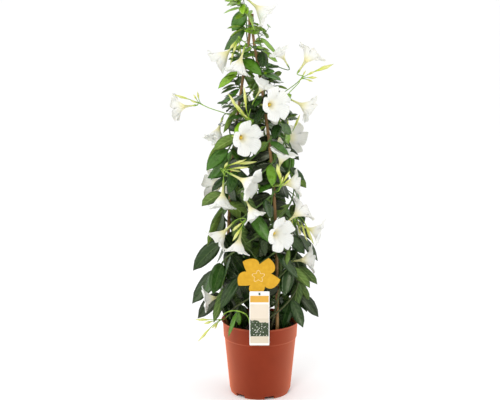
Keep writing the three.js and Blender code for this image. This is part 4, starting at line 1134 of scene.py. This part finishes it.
def hang_label():
    """The hanging label with round corners and a punched hole."""
    width, height, thick = LABEL_SIZE
    corners = []
    for x, z, start in ((1, -1, -90), (1, 1, 0), (-1, 1, 90), (-1, -1, 180)):
        middle = vec(x * (width / 2 - LABEL_CORNER), z * (height / 2 - LABEL_CORNER))
        for i in range(6):
            turn = math.radians(start + 18 * i)
            corners.append(middle + LABEL_CORNER * vec(math.cos(turn), math.sin(turn)))
    piece = plate("hang_label", corners, thick, 0.15)
    hole_z = height / 2 - LABEL_DROP
    bpy.ops.mesh.primitive_cylinder_add(vertices=24, radius=LABEL_HOLE * MM, depth=4 * thick * MM,
                                        location=(0, 0, hole_z * MM),
                                        rotation=(math.pi / 2, 0, 0))
    punch = bpy.context.object
    apply(piece, "BOOLEAN", object=punch, operation="DIFFERENCE", solver="EXACT")
    bpy.data.objects.remove(punch)
    piece.location = vec(*LABEL_PLACE, LABEL_TOP - height / 2) * MM
    settle(piece)
    smooth(piece, 35)
    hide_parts("label")
    return dress(piece, "printed_label", looks["label"])


# Stems

def shoot_point(start, root, z):
    rise = max(z - SOIL_TOP, 0)
    wide = CANE_CIRCLE * cane_spread(z) + mix(*STEM_CLEAR, eased(*STEM_CLOSES, z))
    radius = mix(root, wide, ease(rise / STEM_LEAN))
    return ring_point(radius, start + rise * TWIST, 0) + frame_centre(z)


def vine_point(index, start, z):
    rise = max(z - SOIL_TOP, 0)
    radius = mix(VINE_ROOT, VINE_CIRCLE, ease(rise / VINE_LEAN))
    return ring_point(radius, start + rise * 360 / VINE_PITCH, 0) + cane_point(index, z)


def stem_joints(point_at, top, step):
    """Points a step apart along a stem, where its leaves stand half way between two of them."""
    points = [point_at(STEM_START)]
    previous = points[0]
    walked = 0
    for z in range(STEM_START + 1, math.ceil(top)):
        here = point_at(z)
        walked += np.linalg.norm(here - previous)
        previous = here
        if walked >= step:
            points.append(here)
            walked = 0
    points.append(point_at(top))
    return points


def stem_lines():
    """Every stem's name, its points and its radii there, in the order in which they grow."""
    stems = {"young_shoot": ([vec(*point) for point in YOUNG_POINTS], YOUNG_RADIUS)}
    for name, (index, start, top) in VINES.items():
        points = stem_joints(lambda z: vine_point(index, start, z), top, VINE_STEP)
        stems[name] = (points, VINE_RADIUS)
    for name, (start, root, top, step) in SHOOTS.items():
        points = stem_joints(lambda z: shoot_point(start, root, z), top, step)
        stems[name] = (points, SHOOT_RADIUS)
    return {name: (points, np.linspace(low, STEM_HIGH_RADIUS, len(points)))
            for name, (points, low) in stems.items()}


def fine_line(points, radii):
    """A smooth run through the middle of each stretch, with a thick joint where leaves stand."""
    line = [points[0]]
    thick = [radii[0]]
    middles = [(a + b) / 2 for a, b in zip(points, points[1:])]
    for i in range(1, len(points) - 1):
        for step in range(STEM_FINE):
            share = step / STEM_FINE
            line.append(curve_at(share, middles[i - 1], points[i], middles[i]))
            away = min(step, STEM_FINE - step)
            bulge = 1 + JOINT_BULGE * math.exp(-away * away)
            thick.append(mix(radii[i - 1], radii[i], share) * bulge)
    line += [middles[-1], points[-1]]
    thick += [radii[-2] * (1 + JOINT_BULGE), radii[-1] * 0.5]
    return line, thick


def beside(points, i):
    """The points before and after one of a line's points."""
    return points[max(i - 1, 0)], points[min(i + 1, len(points) - 1)]


def on_stem(points, i):
    """The fine stem's middle beside one of the points that guide it."""
    before, after = beside(points, i)
    return (before + 6 * points[i] + after) / 8


def nearest_stem(target):
    """The guiding point nearest to a target: its stem, its number and the way out to the target."""
    best = min((np.linalg.norm(point - target), name, i) for name, (points, _) in stems.items()
               for i, point in enumerate(points) if point[2] > LOWEST_STALK)
    _, name, i = best
    points = stems[name][0]
    before, after = beside(points, i)
    return name, i, across(target - points[i], unit(after - before))


# Leaves

def leaf_pattern():
    """One leaf laid flat: across X in half widths, along Y from 0 to 1, up Z in millimetres."""
    rows = len(LEAF_ROWS) - 1
    bpy.ops.mesh.primitive_grid_add(x_subdivisions=LEAF_COLUMNS, y_subdivisions=rows, size=2)
    piece = named("leaf_pattern")
    active(piece)
    bpy.ops.object.mode_set(mode="EDIT")
    wide = LEAF_COLUMNS + 1
    for row, along in enumerate(LEAF_ROWS):
        pick(piece, lambda vert: vert.index // wide == row)
        bpy.ops.transform.translate(value=(0, along - (2 * row / rows - 1), 0))
        bpy.ops.transform.resize(value=(leaf_wide(along), 1, 1), center_override=(0, along, 0))
        thick = STALK_THICK if along <= LEAF_STALK * 1.1 else BLADE_THICK
        pick(piece, lambda vert: vert.index // wide == row and vert.index % wide not in (0, wide - 1)
             and 0 < row < rows)
        bpy.ops.transform.translate(value=(0, 0, thick))
    bpy.ops.mesh.select_all(action="SELECT")
    bpy.ops.mesh.duplicate()
    bpy.ops.transform.resize(value=(1, 1, -1), center_override=(0, 0, 0))
    bpy.ops.object.mode_set(mode="OBJECT")
    half = len(piece.data.polygons) // 2
    for face in piece.data.polygons:
        face.material_index = int(face.index >= half)
    outward(piece)
    return piece


def leaf_wide(along):
    """Half width of a leaf as a share of its widest."""
    blade = (along - LEAF_STALK) / (1 - LEAF_STALK)
    if blade <= 0:
        return STALK_WIDE
    peak = LEAF_SWELL / (LEAF_SWELL + LEAF_TAPER)
    shape = (blade ** LEAF_SWELL * (1 - blade) ** LEAF_TAPER
             / (peak ** LEAF_SWELL * (1 - peak) ** LEAF_TAPER))
    tip = DRIP_TIP if along > 0.9 else 1
    return max(shape * tip, 0.006 if along > 0.5 else STALK_WIDE)


def welded(node):
    """A solid's points, each once, and the set of neighbours of each."""
    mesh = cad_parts[node].data
    points = np.array([vert.co for vert in mesh.vertices]) / MM
    _, first, index = np.unique(np.round(points, 2), axis=0, return_index=True,
                                return_inverse=True)
    near = [set() for _ in first]
    for face in mesh.polygons:
        corners = {int(index.ravel()[i]) for i in face.vertices}
        for corner in corners:
            near[corner] |= corners - {corner}
    return points[first], near


def leaf_frames(node):
    """Each leaf of a solid as its line, its normals and its half width, read from its last rings."""
    points, near = welded(node)
    line = np.array(stems[node][0])
    roots = (line[1:] + line[:-1]) / 2
    leaves = []
    for tip, ring in enumerate(near):
        if len(ring) != 4 or any(len(near[i] & ring) != 2 for i in ring):
            continue
        inner = set().union(*(near[i] for i in ring)) - ring - {tip}
        if len(inner) != 4:
            continue
        sections = [keeled([points[i] for i in loop]) for loop in (inner, ring)]
        if None in sections:
            continue
        leaf = fitted(points[tip], sections)
        if np.linalg.norm(roots - leaf[0][0], axis=1).min() < ROOT_SLACK:
            leaves.append(leaf)
    return leaves


def keeled(corners):
    """Middle, normal and half width of a leaf's ring of four: two edges and two keel points."""
    pairs = [((a, b), [k for k in range(4) if k not in (a, b)])
             for a in range(4) for b in range(a + 1, 4)]
    keel, edge = min(pairs, key=lambda pair: np.linalg.norm(corners[pair[0][0]]
                                                            - corners[pair[0][1]]))
    middle = (corners[edge[0]] + corners[edge[1]]) / 2
    low = (corners[keel[0]] + corners[keel[1]]) / 2
    half = np.linalg.norm(corners[edge[0]] - corners[edge[1]]) / 2
    if half < LEAF_MIN_HALF:
        return None
    return middle, unit(middle - low), half


def fitted(tip, sections):
    """The leaf's line as point, rate and bend, with its two normals and its half width."""
    (first, first_up, half), (second, second_up, _) = sections
    t1, t2 = LEAF_SECTIONS
    square = np.array([[1, t1, t1 * t1], [1, t2, t2 * t2], [1, 1, 1]])
    line = np.linalg.solve(square, np.array([first, second, tip]))
    return line, first_up, second_up, half / LEAF_WIDE


def bent_leaf(pattern, leaf, draw):
    """The pattern's points on one leaf, with its fold, a wavy edge and a slight twist."""
    (root, rate, curl), first_up, second_up, half = leaf
    sideways, along, up = pattern.T
    t1, t2 = LEAF_SECTIONS
    share = np.clip((along - t1) / (t2 - t1), -0.3, 1.6)[:, None]
    line = root + rate * along[:, None] + curl * (along ** 2)[:, None]
    run = rate + 2 * curl * along[:, None]
    run /= np.linalg.norm(run, axis=1)[:, None]
    normal = first_up + (second_up - first_up) * share
    normal -= run * (normal * run).sum(axis=1)[:, None]
    normal /= np.linalg.norm(normal, axis=1)[:, None]
    side = np.cross(run, normal)
    wide = np.array([leaf_wide(a) for a in along])
    out = np.minimum(np.abs(sideways) / wide, 1)
    fold = -LEAF_FOLD * wide * (1 - out) ** 1.15 * half
    ripple = draw.uniform(0.02, 0.075) * half * out ** 2 * wide
    waves = draw.uniform(1.6, 2.8)
    phase = draw.uniform(0, 6.3) + np.where(sideways > 0, draw.uniform(0, 3), 0)
    lift = fold + ripple * np.sin(2 * math.pi * waves * along + phase)
    return line + side * (sideways * half)[:, None] + normal * (lift + up)[:, None]


def clear_of_blooms(point):
    """Whether a point is outside every bloom and the view into its face."""
    for foot, face, size in all_blooms:
        reach = BLOOM_LENGTH * size
        share = min(max(np.dot(point - foot, face) / reach, 0), BLOOM_VIEW)
        near = mix(*BLOOM_CLEAR, ease(share)) * size
        if np.linalg.norm(point - foot - face * reach * share) < near:
            return False
    return True


def clear_leaf(rows):
    """Whether a leaf's middle and tip are clear of the blooms."""
    root, rate, curl = rows
    return all(clear_of_blooms(root + rate * t + curl * t * t) for t in (0.5, 1))


def twig(root, out, draw):
    """A short twig's line, and its leaves as fitted leaves: one pair half way and two at its tip."""
    side = np.cross(out, vec(0, 0, 1))
    turn = draw.uniform(-TWIG_TURN, TWIG_TURN)
    ahead = unit(math.cos(turn) * out + math.sin(turn) * side + vec(0, 0, draw.uniform(*TWIG_RISES)))
    length = draw.uniform(*TWIG_LENGTHS)
    line = bend(root, ahead, root + ahead * length + vec(0, 0, 0.2 * length), vec(0, 0, 1), 6)
    cross = across(np.cross(ahead, vec(0, 0, 1)), ahead)
    leaves = []
    for foot, ways in ((line[3], (cross, -cross)), (line[6], (cross, -cross, 1.5 * ahead))):
        for way in ways:
            along = unit(way + 0.6 * ahead + vec(0, 0, draw.uniform(-0.4, 0.5)))
            reach = draw.uniform(*TWIG_SIZES) * (1 if foot is line[3] else 0.8)
            up = across(vec(0, 0, 1) + 0.7 * out + draw.uniform(-0.5, 0.5) * cross, along)
            rows = np.array([foot, along * reach, vec(0, 0, -0.3 * reach)])
            if clear_leaf(rows):
                leaves.append((rows, up, up, reach * draw.uniform(*TWIG_SLIMS) / 2))
    return line, leaves


def twigs(points, draw):
    """The lines and leaves of a stem's twigs: one at each upper joint, and two near the top, where
    the second turns to the front unless the stem is behind the canes."""
    lines = []
    leaves = []
    last = len(points) - 1
    for i in range(1, last + 1):
        root = points[last] if i == last else (points[i] + points[i + 1]) / 2
        if root[2] < TWIG_LOW:
            continue
        out = unit((root - frame_centre(root[2])) * vec(1, 1, 0))
        forward = out if out[1] > 0.3 else unit(out - vec(0, TWIG_FRONT, 0))
        for way in (out,) if root[2] < TWIG_PAIRS and i < last else (out, forward):
            line, found = twig(root, way, draw)
            if found:
                lines.append((line, np.linspace(TWIG_RADIUS, 0.6 * TWIG_RADIUS, len(line))))
                leaves += found
    return lines, leaves


def inner_leaves(points, draw):
    """Leaves that a stem on a cane turns inwards, two at each lower joint, as fitted leaves."""
    leaves = []
    for before, after in zip(points, points[1:]):
        root = (before + after) / 2
        if not INNER_SPAN[0] < root[2] < INNER_SPAN[1]:
            continue
        out = unit((root - frame_centre(root[2])) * vec(1, 1, 0))
        side = np.cross(out, vec(0, 0, 1))
        for way in (side, -side):
            along = unit(way - draw.uniform(0.2, 0.8) * out + vec(0, 0, draw.uniform(-0.7, 0.5)))
            low, high, share = INNER_SHORTEN
            reach = draw.uniform(*INNER_SIZES) * mix(1, share, eased(low, high, root[2]))
            up = across(out + vec(0, 0, draw.uniform(0, 0.6)) + draw.uniform(-0.4, 0.4) * side, along)
            rows = np.array([root, along * reach, vec(0, 0, -0.2 * reach)])
            if clear_leaf(rows):
                leaves.append((rows, up, up, reach * draw.uniform(*INNER_SLIMS) / 2))
    return leaves


def top_fresh(height):
    """How much fresher the leaves are near the plant's top."""
    low, high, share = TONE_TOP
    return share * eased(low, high, height)


def leaf_look(leaf, top, young, draw):
    """Tone and painted shade of a leaf: fresher higher up, and darker where it is deep inside, as
    shade falls there.
    """
    (root, rate, curl), *_ = leaf
    low, high, rise = TONE_RISE
    length, tip = TONE_TIP
    lively = rise * eased(low, high, root[2]) + tip * ease((root[2] - top) / length + 1)
    tone = lively * draw.uniform(0, TONE_CHANCE[0]) + draw.uniform(0, TONE_CHANCE[1])
    tone += top_fresh(root[2]) / 2
    if young:
        tone = draw.uniform(*YOUNG_TONES)
    middle = root + rate * 0.6 + curl * 0.36
    patch, reach, fresher = FRESH_PATCH
    tone += fresher * (1 - ease(np.linalg.norm(middle - patch) / reach))
    # Painted shade: leaves nearer the middle of the plant get a darker shade value
    away = np.linalg.norm((middle - frame_centre(middle[2]))[:2])
    depth = ease(away / (CANE_CIRCLE * cane_spread(middle[2]) + LEAF_DEEP))
    shade = mix(PAINTED_INNER_SHADE, 1, depth) * draw.uniform(0.8, 1.15)
    return min(max(tone, 0), 1), shade, 0


def stem_and_leaves(name, draw):
    """The fine stem with its bloom stalks, and its leaves, in place of one leafy solid."""
    points, radii = stems[name]
    young = name == "young_shoot"
    lines, small = ([], []) if young else twigs(points, draw)
    stem = rods(f"{name}_stem", [fine_line(points, radii)] + stalks[name] + lines)
    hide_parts(name)
    slot = "young_leaf" if young else "leaf"
    dress(stem, slot, looks["stalk"] if young else looks["bark"])
    placed = []
    for leaf in leaf_frames(name):
        look = leaf_look(leaf, points[-1][2], young, draw)
        placed.append((bent_leaf(leaf_points, leaf, draw), look))
    for leaf in inner_leaves(points, draw) if name in VINES else ():
        # Painted shade darkens every inner leaf
        shade = PAINTED_INNER_SHADE * draw.uniform(0.7, 1.3)
        placed.append((bent_leaf(leaf_points, leaf, draw), (draw.uniform(0, 0.4), shade, 0)))
    for leaf in small:
        tone = LIME_TONE if draw.random() < LIME_SHARE else draw.uniform(*TWIG_TONES)
        tone = min(tone + top_fresh(leaf[0][0][2]), 1)
        placed.append((bent_leaf(leaf_points, leaf, draw), (tone, draw.uniform(*TWIG_SHADES), 0)))
    leaves = copies(f"{name}_leaves", pattern_leaf, placed)
    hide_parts(name)
    dress(leaves, slot, looks["leaf"], looks["under"])


# Blooms and buds

def paint(piece, look):
    """Gives part of a bloom all of the bloom's materials, and its faces one of them."""
    for each in BLOOM_LOOKS:
        piece.data.materials.append(looks[each])
    for face in piece.data.polygons:
        face.material_index = BLOOM_LOOKS.index(look)


def bloom_pattern(name, draw, openness):
    """One bloom along Z from its foot, in millimetres: five overlapping lobes on a slim tube."""
    rows = len(TUBE_ROWS) + len(LOBE_ROWS) - 1
    columns = len(LOBE_COLUMNS) - 1
    sectors = []
    for lobe in range(LOBES):
        bpy.ops.mesh.primitive_grid_add(x_subdivisions=columns, y_subdivisions=rows, size=2)
        sector = bpy.context.object
        ruffle = draw.uniform(0, 6)
        for vert in sector.data.vertices:
            row, column = divmod(vert.index, columns + 1)
            vert.co = lobe_point(row, column, LOBE_TURN * lobe, ruffle, openness)
        sectors.append(sector)
    piece = join(sectors, name)
    active(piece)
    bpy.ops.object.mode_set(mode="EDIT")
    bpy.ops.mesh.select_all(action="SELECT")
    bpy.ops.mesh.remove_doubles(threshold=0.01)
    bpy.ops.object.mode_set(mode="OBJECT")
    paint(piece, "outer")
    apply(piece, "SUBSURF", levels=1, render_levels=1)
    apply(piece, "SOLIDIFY", thickness=PETAL_THICK, offset=-1, material_offset=1)
    return join([piece, anther_cone(), calyx_pattern()], name)


def lobe_point(row, column, turn, ruffle, openness):
    """A point of one lobe's sector, from the foot of the tube to the lobe's edge."""
    side, reach, edge_at = LOBE_COLUMNS[column]
    angle = LOBE_TURN / 2 * side
    if row < len(TUBE_ROWS):
        at, radius = TUBE_ROWS[row]
        return ring_point(radius, BLOOM_SPIN + turn + angle, at)
    at, radius = TUBE_ROWS[-1]
    out = LOBE_ROWS[row - len(TUBE_ROWS)]
    reach = mix(radius, reach, openness)
    edge_at += LOBE_CLOSE * (1 - openness)
    rise = 1 - (1 - out) ** LOBE_RISE
    along = mix(at, edge_at, rise) - LOBE_CURL * out ** 4 * openness
    along += LOBE_WAVE * out ** 2 * math.sin(3.1 * side + ruffle) + LOBE_LAP * out * side
    along += LOBE_FRILL * out ** 3 * math.sin(8 * side + 2 * ruffle)
    angle *= 1 + LOBE_SPREAD * out
    return ring_point(mix(radius, reach, out), BLOOM_SPIN + turn + angle, along)


def anther_cone():
    """The pale cone of five anthers that fills the throat, in millimetres along Z."""
    low, high = ANTHERS
    bpy.ops.mesh.primitive_cone_add(vertices=10, radius1=ANTHER_RADIUS, radius2=0.4,
                                    depth=high - low, location=(0, 0, (low + high) / 2))
    piece = named("anthers")
    settle(piece)
    paint(piece, "inner")
    for corner in piece.data.uv_layers.active.data:
        corner.uv = (0, 0)
    return piece


def calyx_pattern():
    """Five narrow sepals round the foot of a bloom, in millimetres along Z."""
    sepals = []
    radius, length = SEPAL_SIZE
    for i in range(LOBES):
        bpy.ops.mesh.primitive_cone_add(vertices=5, radius1=radius, radius2=0.1, depth=length)
        sepal = bpy.context.object
        sepal.scale = (0.5, 1, 1)
        sepal.rotation_euler = (0, math.radians(SEPAL_TILT), math.radians(LOBE_TURN * i))
        sepal.location = ring_point(SEPAL_CIRCLE, LOBE_TURN * i, SEPAL_HEIGHT)
        sepals.append(sepal)
    piece = join(sepals, "calyx")
    settle(piece)
    paint(piece, "stalk")
    return piece


def bloom_axes(face):
    """Two directions across a bloom, as its solid was turned."""
    up = vec(1, 0, 0) if abs(face[2]) > 0.9 else vec(0, 0, 1)
    side = across(up, face)
    return side, np.cross(face, side)


def bloom_frame(node):
    """Foot, face and size of a solid bloom, read from the pit of its throat."""
    points, near = welded(node)
    pit, ring = next((i, ring) for i, ring in enumerate(near) if len(ring) == 2 * LOBES)
    rim = points[list(ring)].mean(axis=0)
    depth = np.linalg.norm(rim - points[pit])
    face = (rim - points[pit]) / depth
    size = depth / PIT_DEPTH
    return points[pit] - face * PIT_AT * size, face, size


def back_bloom(mouth, turn, rise, size):
    """Foot, face and size of a bloom of a back spray."""
    turn, rise = math.radians(turn), math.radians(rise)
    face = vec(math.sin(turn) * math.cos(rise), -math.cos(turn) * math.cos(rise), math.sin(rise))
    return vec(*mouth) - face * BLOOM_LENGTH * size, face, size


def placed_bloom(points, bloom):
    """A bloom pattern's points where one bloom stands."""
    foot, face, size = bloom
    side, other = bloom_axes(face)
    return foot + size * (points[:, :1] * side + points[:, 1:2] * other + points[:, 2:] * face)


def finished_blooms(name, node, pattern, blooms_here):
    """Finished blooms in place of a node's solid ones."""
    points = mesh_points(pattern)
    piece = copies(name, pattern, [(placed_bloom(points, each), (0, 0, 0))
                                   for each in blooms_here])
    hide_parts(node)
    return dress(piece, "petal", *(looks[look] for look in BLOOM_LOOKS))


def stalk_line(start, leave, foot, face):
    """A bloom's stalk, from where it grows to just behind the bloom, thicker at the bloom."""
    end = foot - face
    points = bend(start, leave, end - face * 3, face, 8) + [end]
    shares = np.linspace(0, 1, len(points))
    return points, [STALK_RADIUS * (1 + 0.5 * ease(3 * share - 2)) for share in shares]


def small_buds(hub, buds, draw):
    """Small buds that fan out round a spray's own buds, as tips with their thickness."""
    way = unit(sum(vec(*bud[:3]) - hub for bud in buds))
    found = []
    while len(found) < SMALL_BUDS - len(buds):
        spread = vec(*(draw.uniform(-1, 1) for _ in range(3)))
        length = draw.uniform(*SMALL_LENGTHS)
        tip = hub + unit(way + SMALL_SPREAD * spread) * length
        found.append((*tip, SMALL_SLIM * length))
    return [bud for bud in found if clear_of_blooms(vec(*bud[:3]))]


def spray(name, hub, buds, blooms_here):
    """A spray's stalk, bud stalks and bloom stalks as one piece, and its furled buds as another."""
    hub = vec(*hub)
    stem_name, i, leave = nearest_stem(hub)
    points, radii = stems[stem_name]
    start = points[i] + leave * (radii[i] + STALK_SEAT)
    arrive = unit(hub - start + vec(0, 0, STALK_LIFT))
    run = [on_stem(points, i)] + bend(start, leave, hub, arrive, 14)
    thick = [STALK_RADIUS] * len(run) + [*RACHIS_RADII]
    run += [hub + arrive * RACHIS_LENGTH * share for share in (0.2, 0.4, 0.6, 0.8, 1)]
    lines = [(run, thick)]
    placed = []
    for order, (x, y, z, girth) in enumerate(buds + small_buds(hub, buds, draw)):
        base = hub + arrive * RACHIS_LENGTH * (0.7 - 0.3 * (order % 3))
        tip = vec(x, y, z)
        aim = unit(tip - base)
        path = bend(base, unit(aim + arrive), tip, aim, BUD_STEPS)
        lines.append((path[:BUD_STALK_STEPS], [BUD_STALK] * BUD_STALK_STEPS))
        placed.append((bent_bud(path, girth), (0, 0, 0)))
    for order, (foot, face, size) in enumerate(blooms_here):
        share = 0.9 if order == 0 else 0.5 * order - 0.4
        base = hub + arrive * RACHIS_LENGTH * share
        out = arrive if order == 0 else across(foot - base, arrive)
        lines.append(stalk_line(base, out, foot, face))
    piece = rods(f"{name}_stalks", lines)
    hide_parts(name)
    dress(piece, "bud", looks["stalk"])
    piece = copies(f"{name}_buds", pattern_bud, placed)
    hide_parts(name)
    dress(piece, "bud", looks["bud"])


def bud_radius(share):
    """A bud's radius along it, as a share of its greatest."""
    low = mix(0.28, 0.55, ease(share / 0.35))
    swell = mix(low, 1, ease((share - 0.15) / 0.42))
    return swell * (1 - ease((share - 0.55) / 0.5)) ** 0.75 if share > 0.55 else swell


def bent_bud(path, girth):
    """The bud pattern's points along the last part of a bud's path."""
    points = []
    count = len(path) - 1
    side = across(vec(0.3, 0.2, 1), unit(path[-1] - path[0]))
    for x, y, share in bud_points:
        spot = (BUD_START + (1 - BUD_START) * share) * count
        i = min(int(spot), count - 1)
        middle = mix(path[i], path[i + 1], spot - i)
        run = unit(path[i + 1] - path[i])
        first = across(side, run)
        other = np.cross(run, first)
        points.append(middle + girth * (x * first + y * other))
    return np.array(points)


def furled_pattern():
    """A furled bud along Z from 0 to 1: fifteen-sided, with five ridges wound half a turn."""
    bpy.ops.mesh.primitive_grid_add(x_subdivisions=BUD_SIDES, y_subdivisions=BUD_ROWS, size=2)
    piece = named("bud_pattern")
    for vert in piece.data.vertices:
        row, column = divmod(vert.index, BUD_SIDES + 1)
        share = row / BUD_ROWS
        radius = max(bud_radius(share), BUD_POINT) * BUD_RIDGES[column % len(BUD_RIDGES)]
        vert.co = ring_point(radius, 360 / BUD_SIDES * column + BUD_WIND * share, share)
    outward(piece)
    bpy.ops.object.mode_set(mode="EDIT")
    for end in (0, 1):
        pick(piece, lambda vert: abs(vert.co.z - end) < 0.001)
        bpy.ops.mesh.edge_face_add()
    bpy.ops.object.mode_set(mode="OBJECT")
    outward(piece)
    return piece


# Floor, light and camera

def white_floor():
    """The wide matt floor that the pot stands on."""
    bpy.ops.mesh.primitive_plane_add(size=FLOOR_SIZE)
    floor = named("floor")
    look, _, shader = material("matt_white_floor", Roughness=0.9)
    shader["Base Color"].default_value = linear("#FDFDFD")
    floor.data.materials.append(look)


def white_room():
    """White at the sides, above and behind, and dim towards the front, where the camera stands."""
    world = bpy.data.worlds.new("white_room")
    bpy.context.scene.world = world
    world.use_nodes = True
    room = world.node_tree
    way = add(room, "ShaderNodeTexCoord").outputs["Generated"]
    parts = add(room, "ShaderNodeSeparateXYZ", {0: way})
    level = add(room, "ShaderNodeMapRange",
                {"Value": parts.outputs[1], "From Min": -1, "From Max": -0.3,
                 "To Min": ROOM_FRONT, "To Max": ROOM_LIGHT}, interpolation_type="SMOOTHSTEP")
    background = room.nodes["Background"].inputs
    background["Color"].default_value = (1, 1, 1, 1)
    room.links.new(level.outputs[0], background["Strength"])


def softboxes():
    """Square lamps on both sides and in front, turned to the middle of the plant."""
    for name, (place, size, power) in SOFTBOXES.items():
        light = bpy.data.lights.new(name, "AREA")
        light.size = size
        light.energy = power
        lamp = bpy.data.objects.new(name, light)
        lamp.location = place
        aim = Vector(LIT_POINT) - Vector(place)
        lamp.rotation_euler = aim.to_track_quat("-Z", "Y").to_euler()
        bpy.context.scene.collection.objects.link(lamp)


def front_camera():
    """The camera in front and a little above, and colours shown as they are."""
    camera = bpy.data.objects.new("camera", bpy.data.cameras.new("camera"))
    camera.location = vec(*CAMERA_PLACE) * MM
    camera.rotation_euler = (math.radians(CAMERA_TILT), 0, 0)
    camera.data.lens = CAMERA_LENS
    bpy.context.scene.collection.objects.link(camera)
    bpy.context.scene.camera = camera
    bpy.context.scene.view_settings.view_transform = "Standard"
    bpy.context.scene.view_settings.look = "None"


# Build

looks = {
    "pot": pot_plastic(),
    "peat": peat(),
    "bamboo": bamboo(),
    "wire": tie_wire(),
    "peg": peg_plastic(),
    "leaf": leaf_top(),
    "under": leaf_under(),
    "bark": stem_bark(),
    "stalk": stalk_skin(),
    "bud": bud_skin(),
    "outer": petal("corolla_outside", (
        (0, "#B5C659"), (0.14, "#DFDC8A"), (0.34, "#EFE7AC"), (0.5, "#F3F0DF"), (0.6, "#F2F1EB"))),
    "inner": petal("corolla_inside", (
        (0, "#FFDC60"), (0.2, "#FFF0A6"), (0.36, "#FFF8D6"), (0.46, "#FAF9EE"), (0.55, "#F1F1EB"))),
    "card": printed_card(),
    "label": printed_label(),
}
draw = random.Random(SEED)
pot_wall()
peat_crust(draw)
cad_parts["soil"].data.materials.clear()
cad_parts["soil"].data.materials.append(looks["peat"])
for index in range(CANE_COUNT):
    cane(index)
wire_tie()
yellow_card()
hang_label()

stems = stem_lines()
stalks = {name: [] for name in stems}
pattern_leaf = leaf_pattern()
leaf_points = mesh_points(pattern_leaf)
pattern_open = bloom_pattern("bloom_open", draw, 1)
pattern_half_open = bloom_pattern("bloom_half_open", draw, HALF_OPEN)
blooms = {number: bloom_frame(f"bloom_{number:02d}") for number in range(1, BLOOM_COUNT + 1)}
back_blooms = {name: [back_bloom(*spec) for spec in specs] for name, specs in BACK_BLOOMS.items()}
all_blooms = [*blooms.values(), *sum(back_blooms.values(), [])]
owners = {number: name for name, numbers in SPRAY_BLOOMS.items() for number in numbers}
pattern_bud = furled_pattern()
bud_points = mesh_points(pattern_bud)
for number, bloom in blooms.items():
    if number in owners:
        continue
    foot, face, size = bloom
    name, i, leave = nearest_stem(foot - face * STALK_REACH)
    stalks[name].append(stalk_line(on_stem(stems[name][0], i), leave, foot, face))
for name, (hub, buds) in SPRAYS.items():
    own = back_blooms.get(name, ())
    spray(name, hub, buds, own or [blooms[number] for number in SPRAY_BLOOMS.get(name, ())])
    if own:
        finished_blooms(f"{name}_blooms", name, pattern_open, own)
for name in stems:
    stem_and_leaves(name, draw)
for number, bloom in blooms.items():
    pattern = pattern_half_open if bloom[1][2] < HANGS else pattern_open
    finished_blooms(f"bloom_{number:02d}_petals", f"bloom_{number:02d}", pattern, [bloom])
for pattern in (pattern_leaf, pattern_bud, pattern_open, pattern_half_open):
    bpy.data.objects.remove(pattern)

white_floor()
white_room()
softboxes()
front_camera()
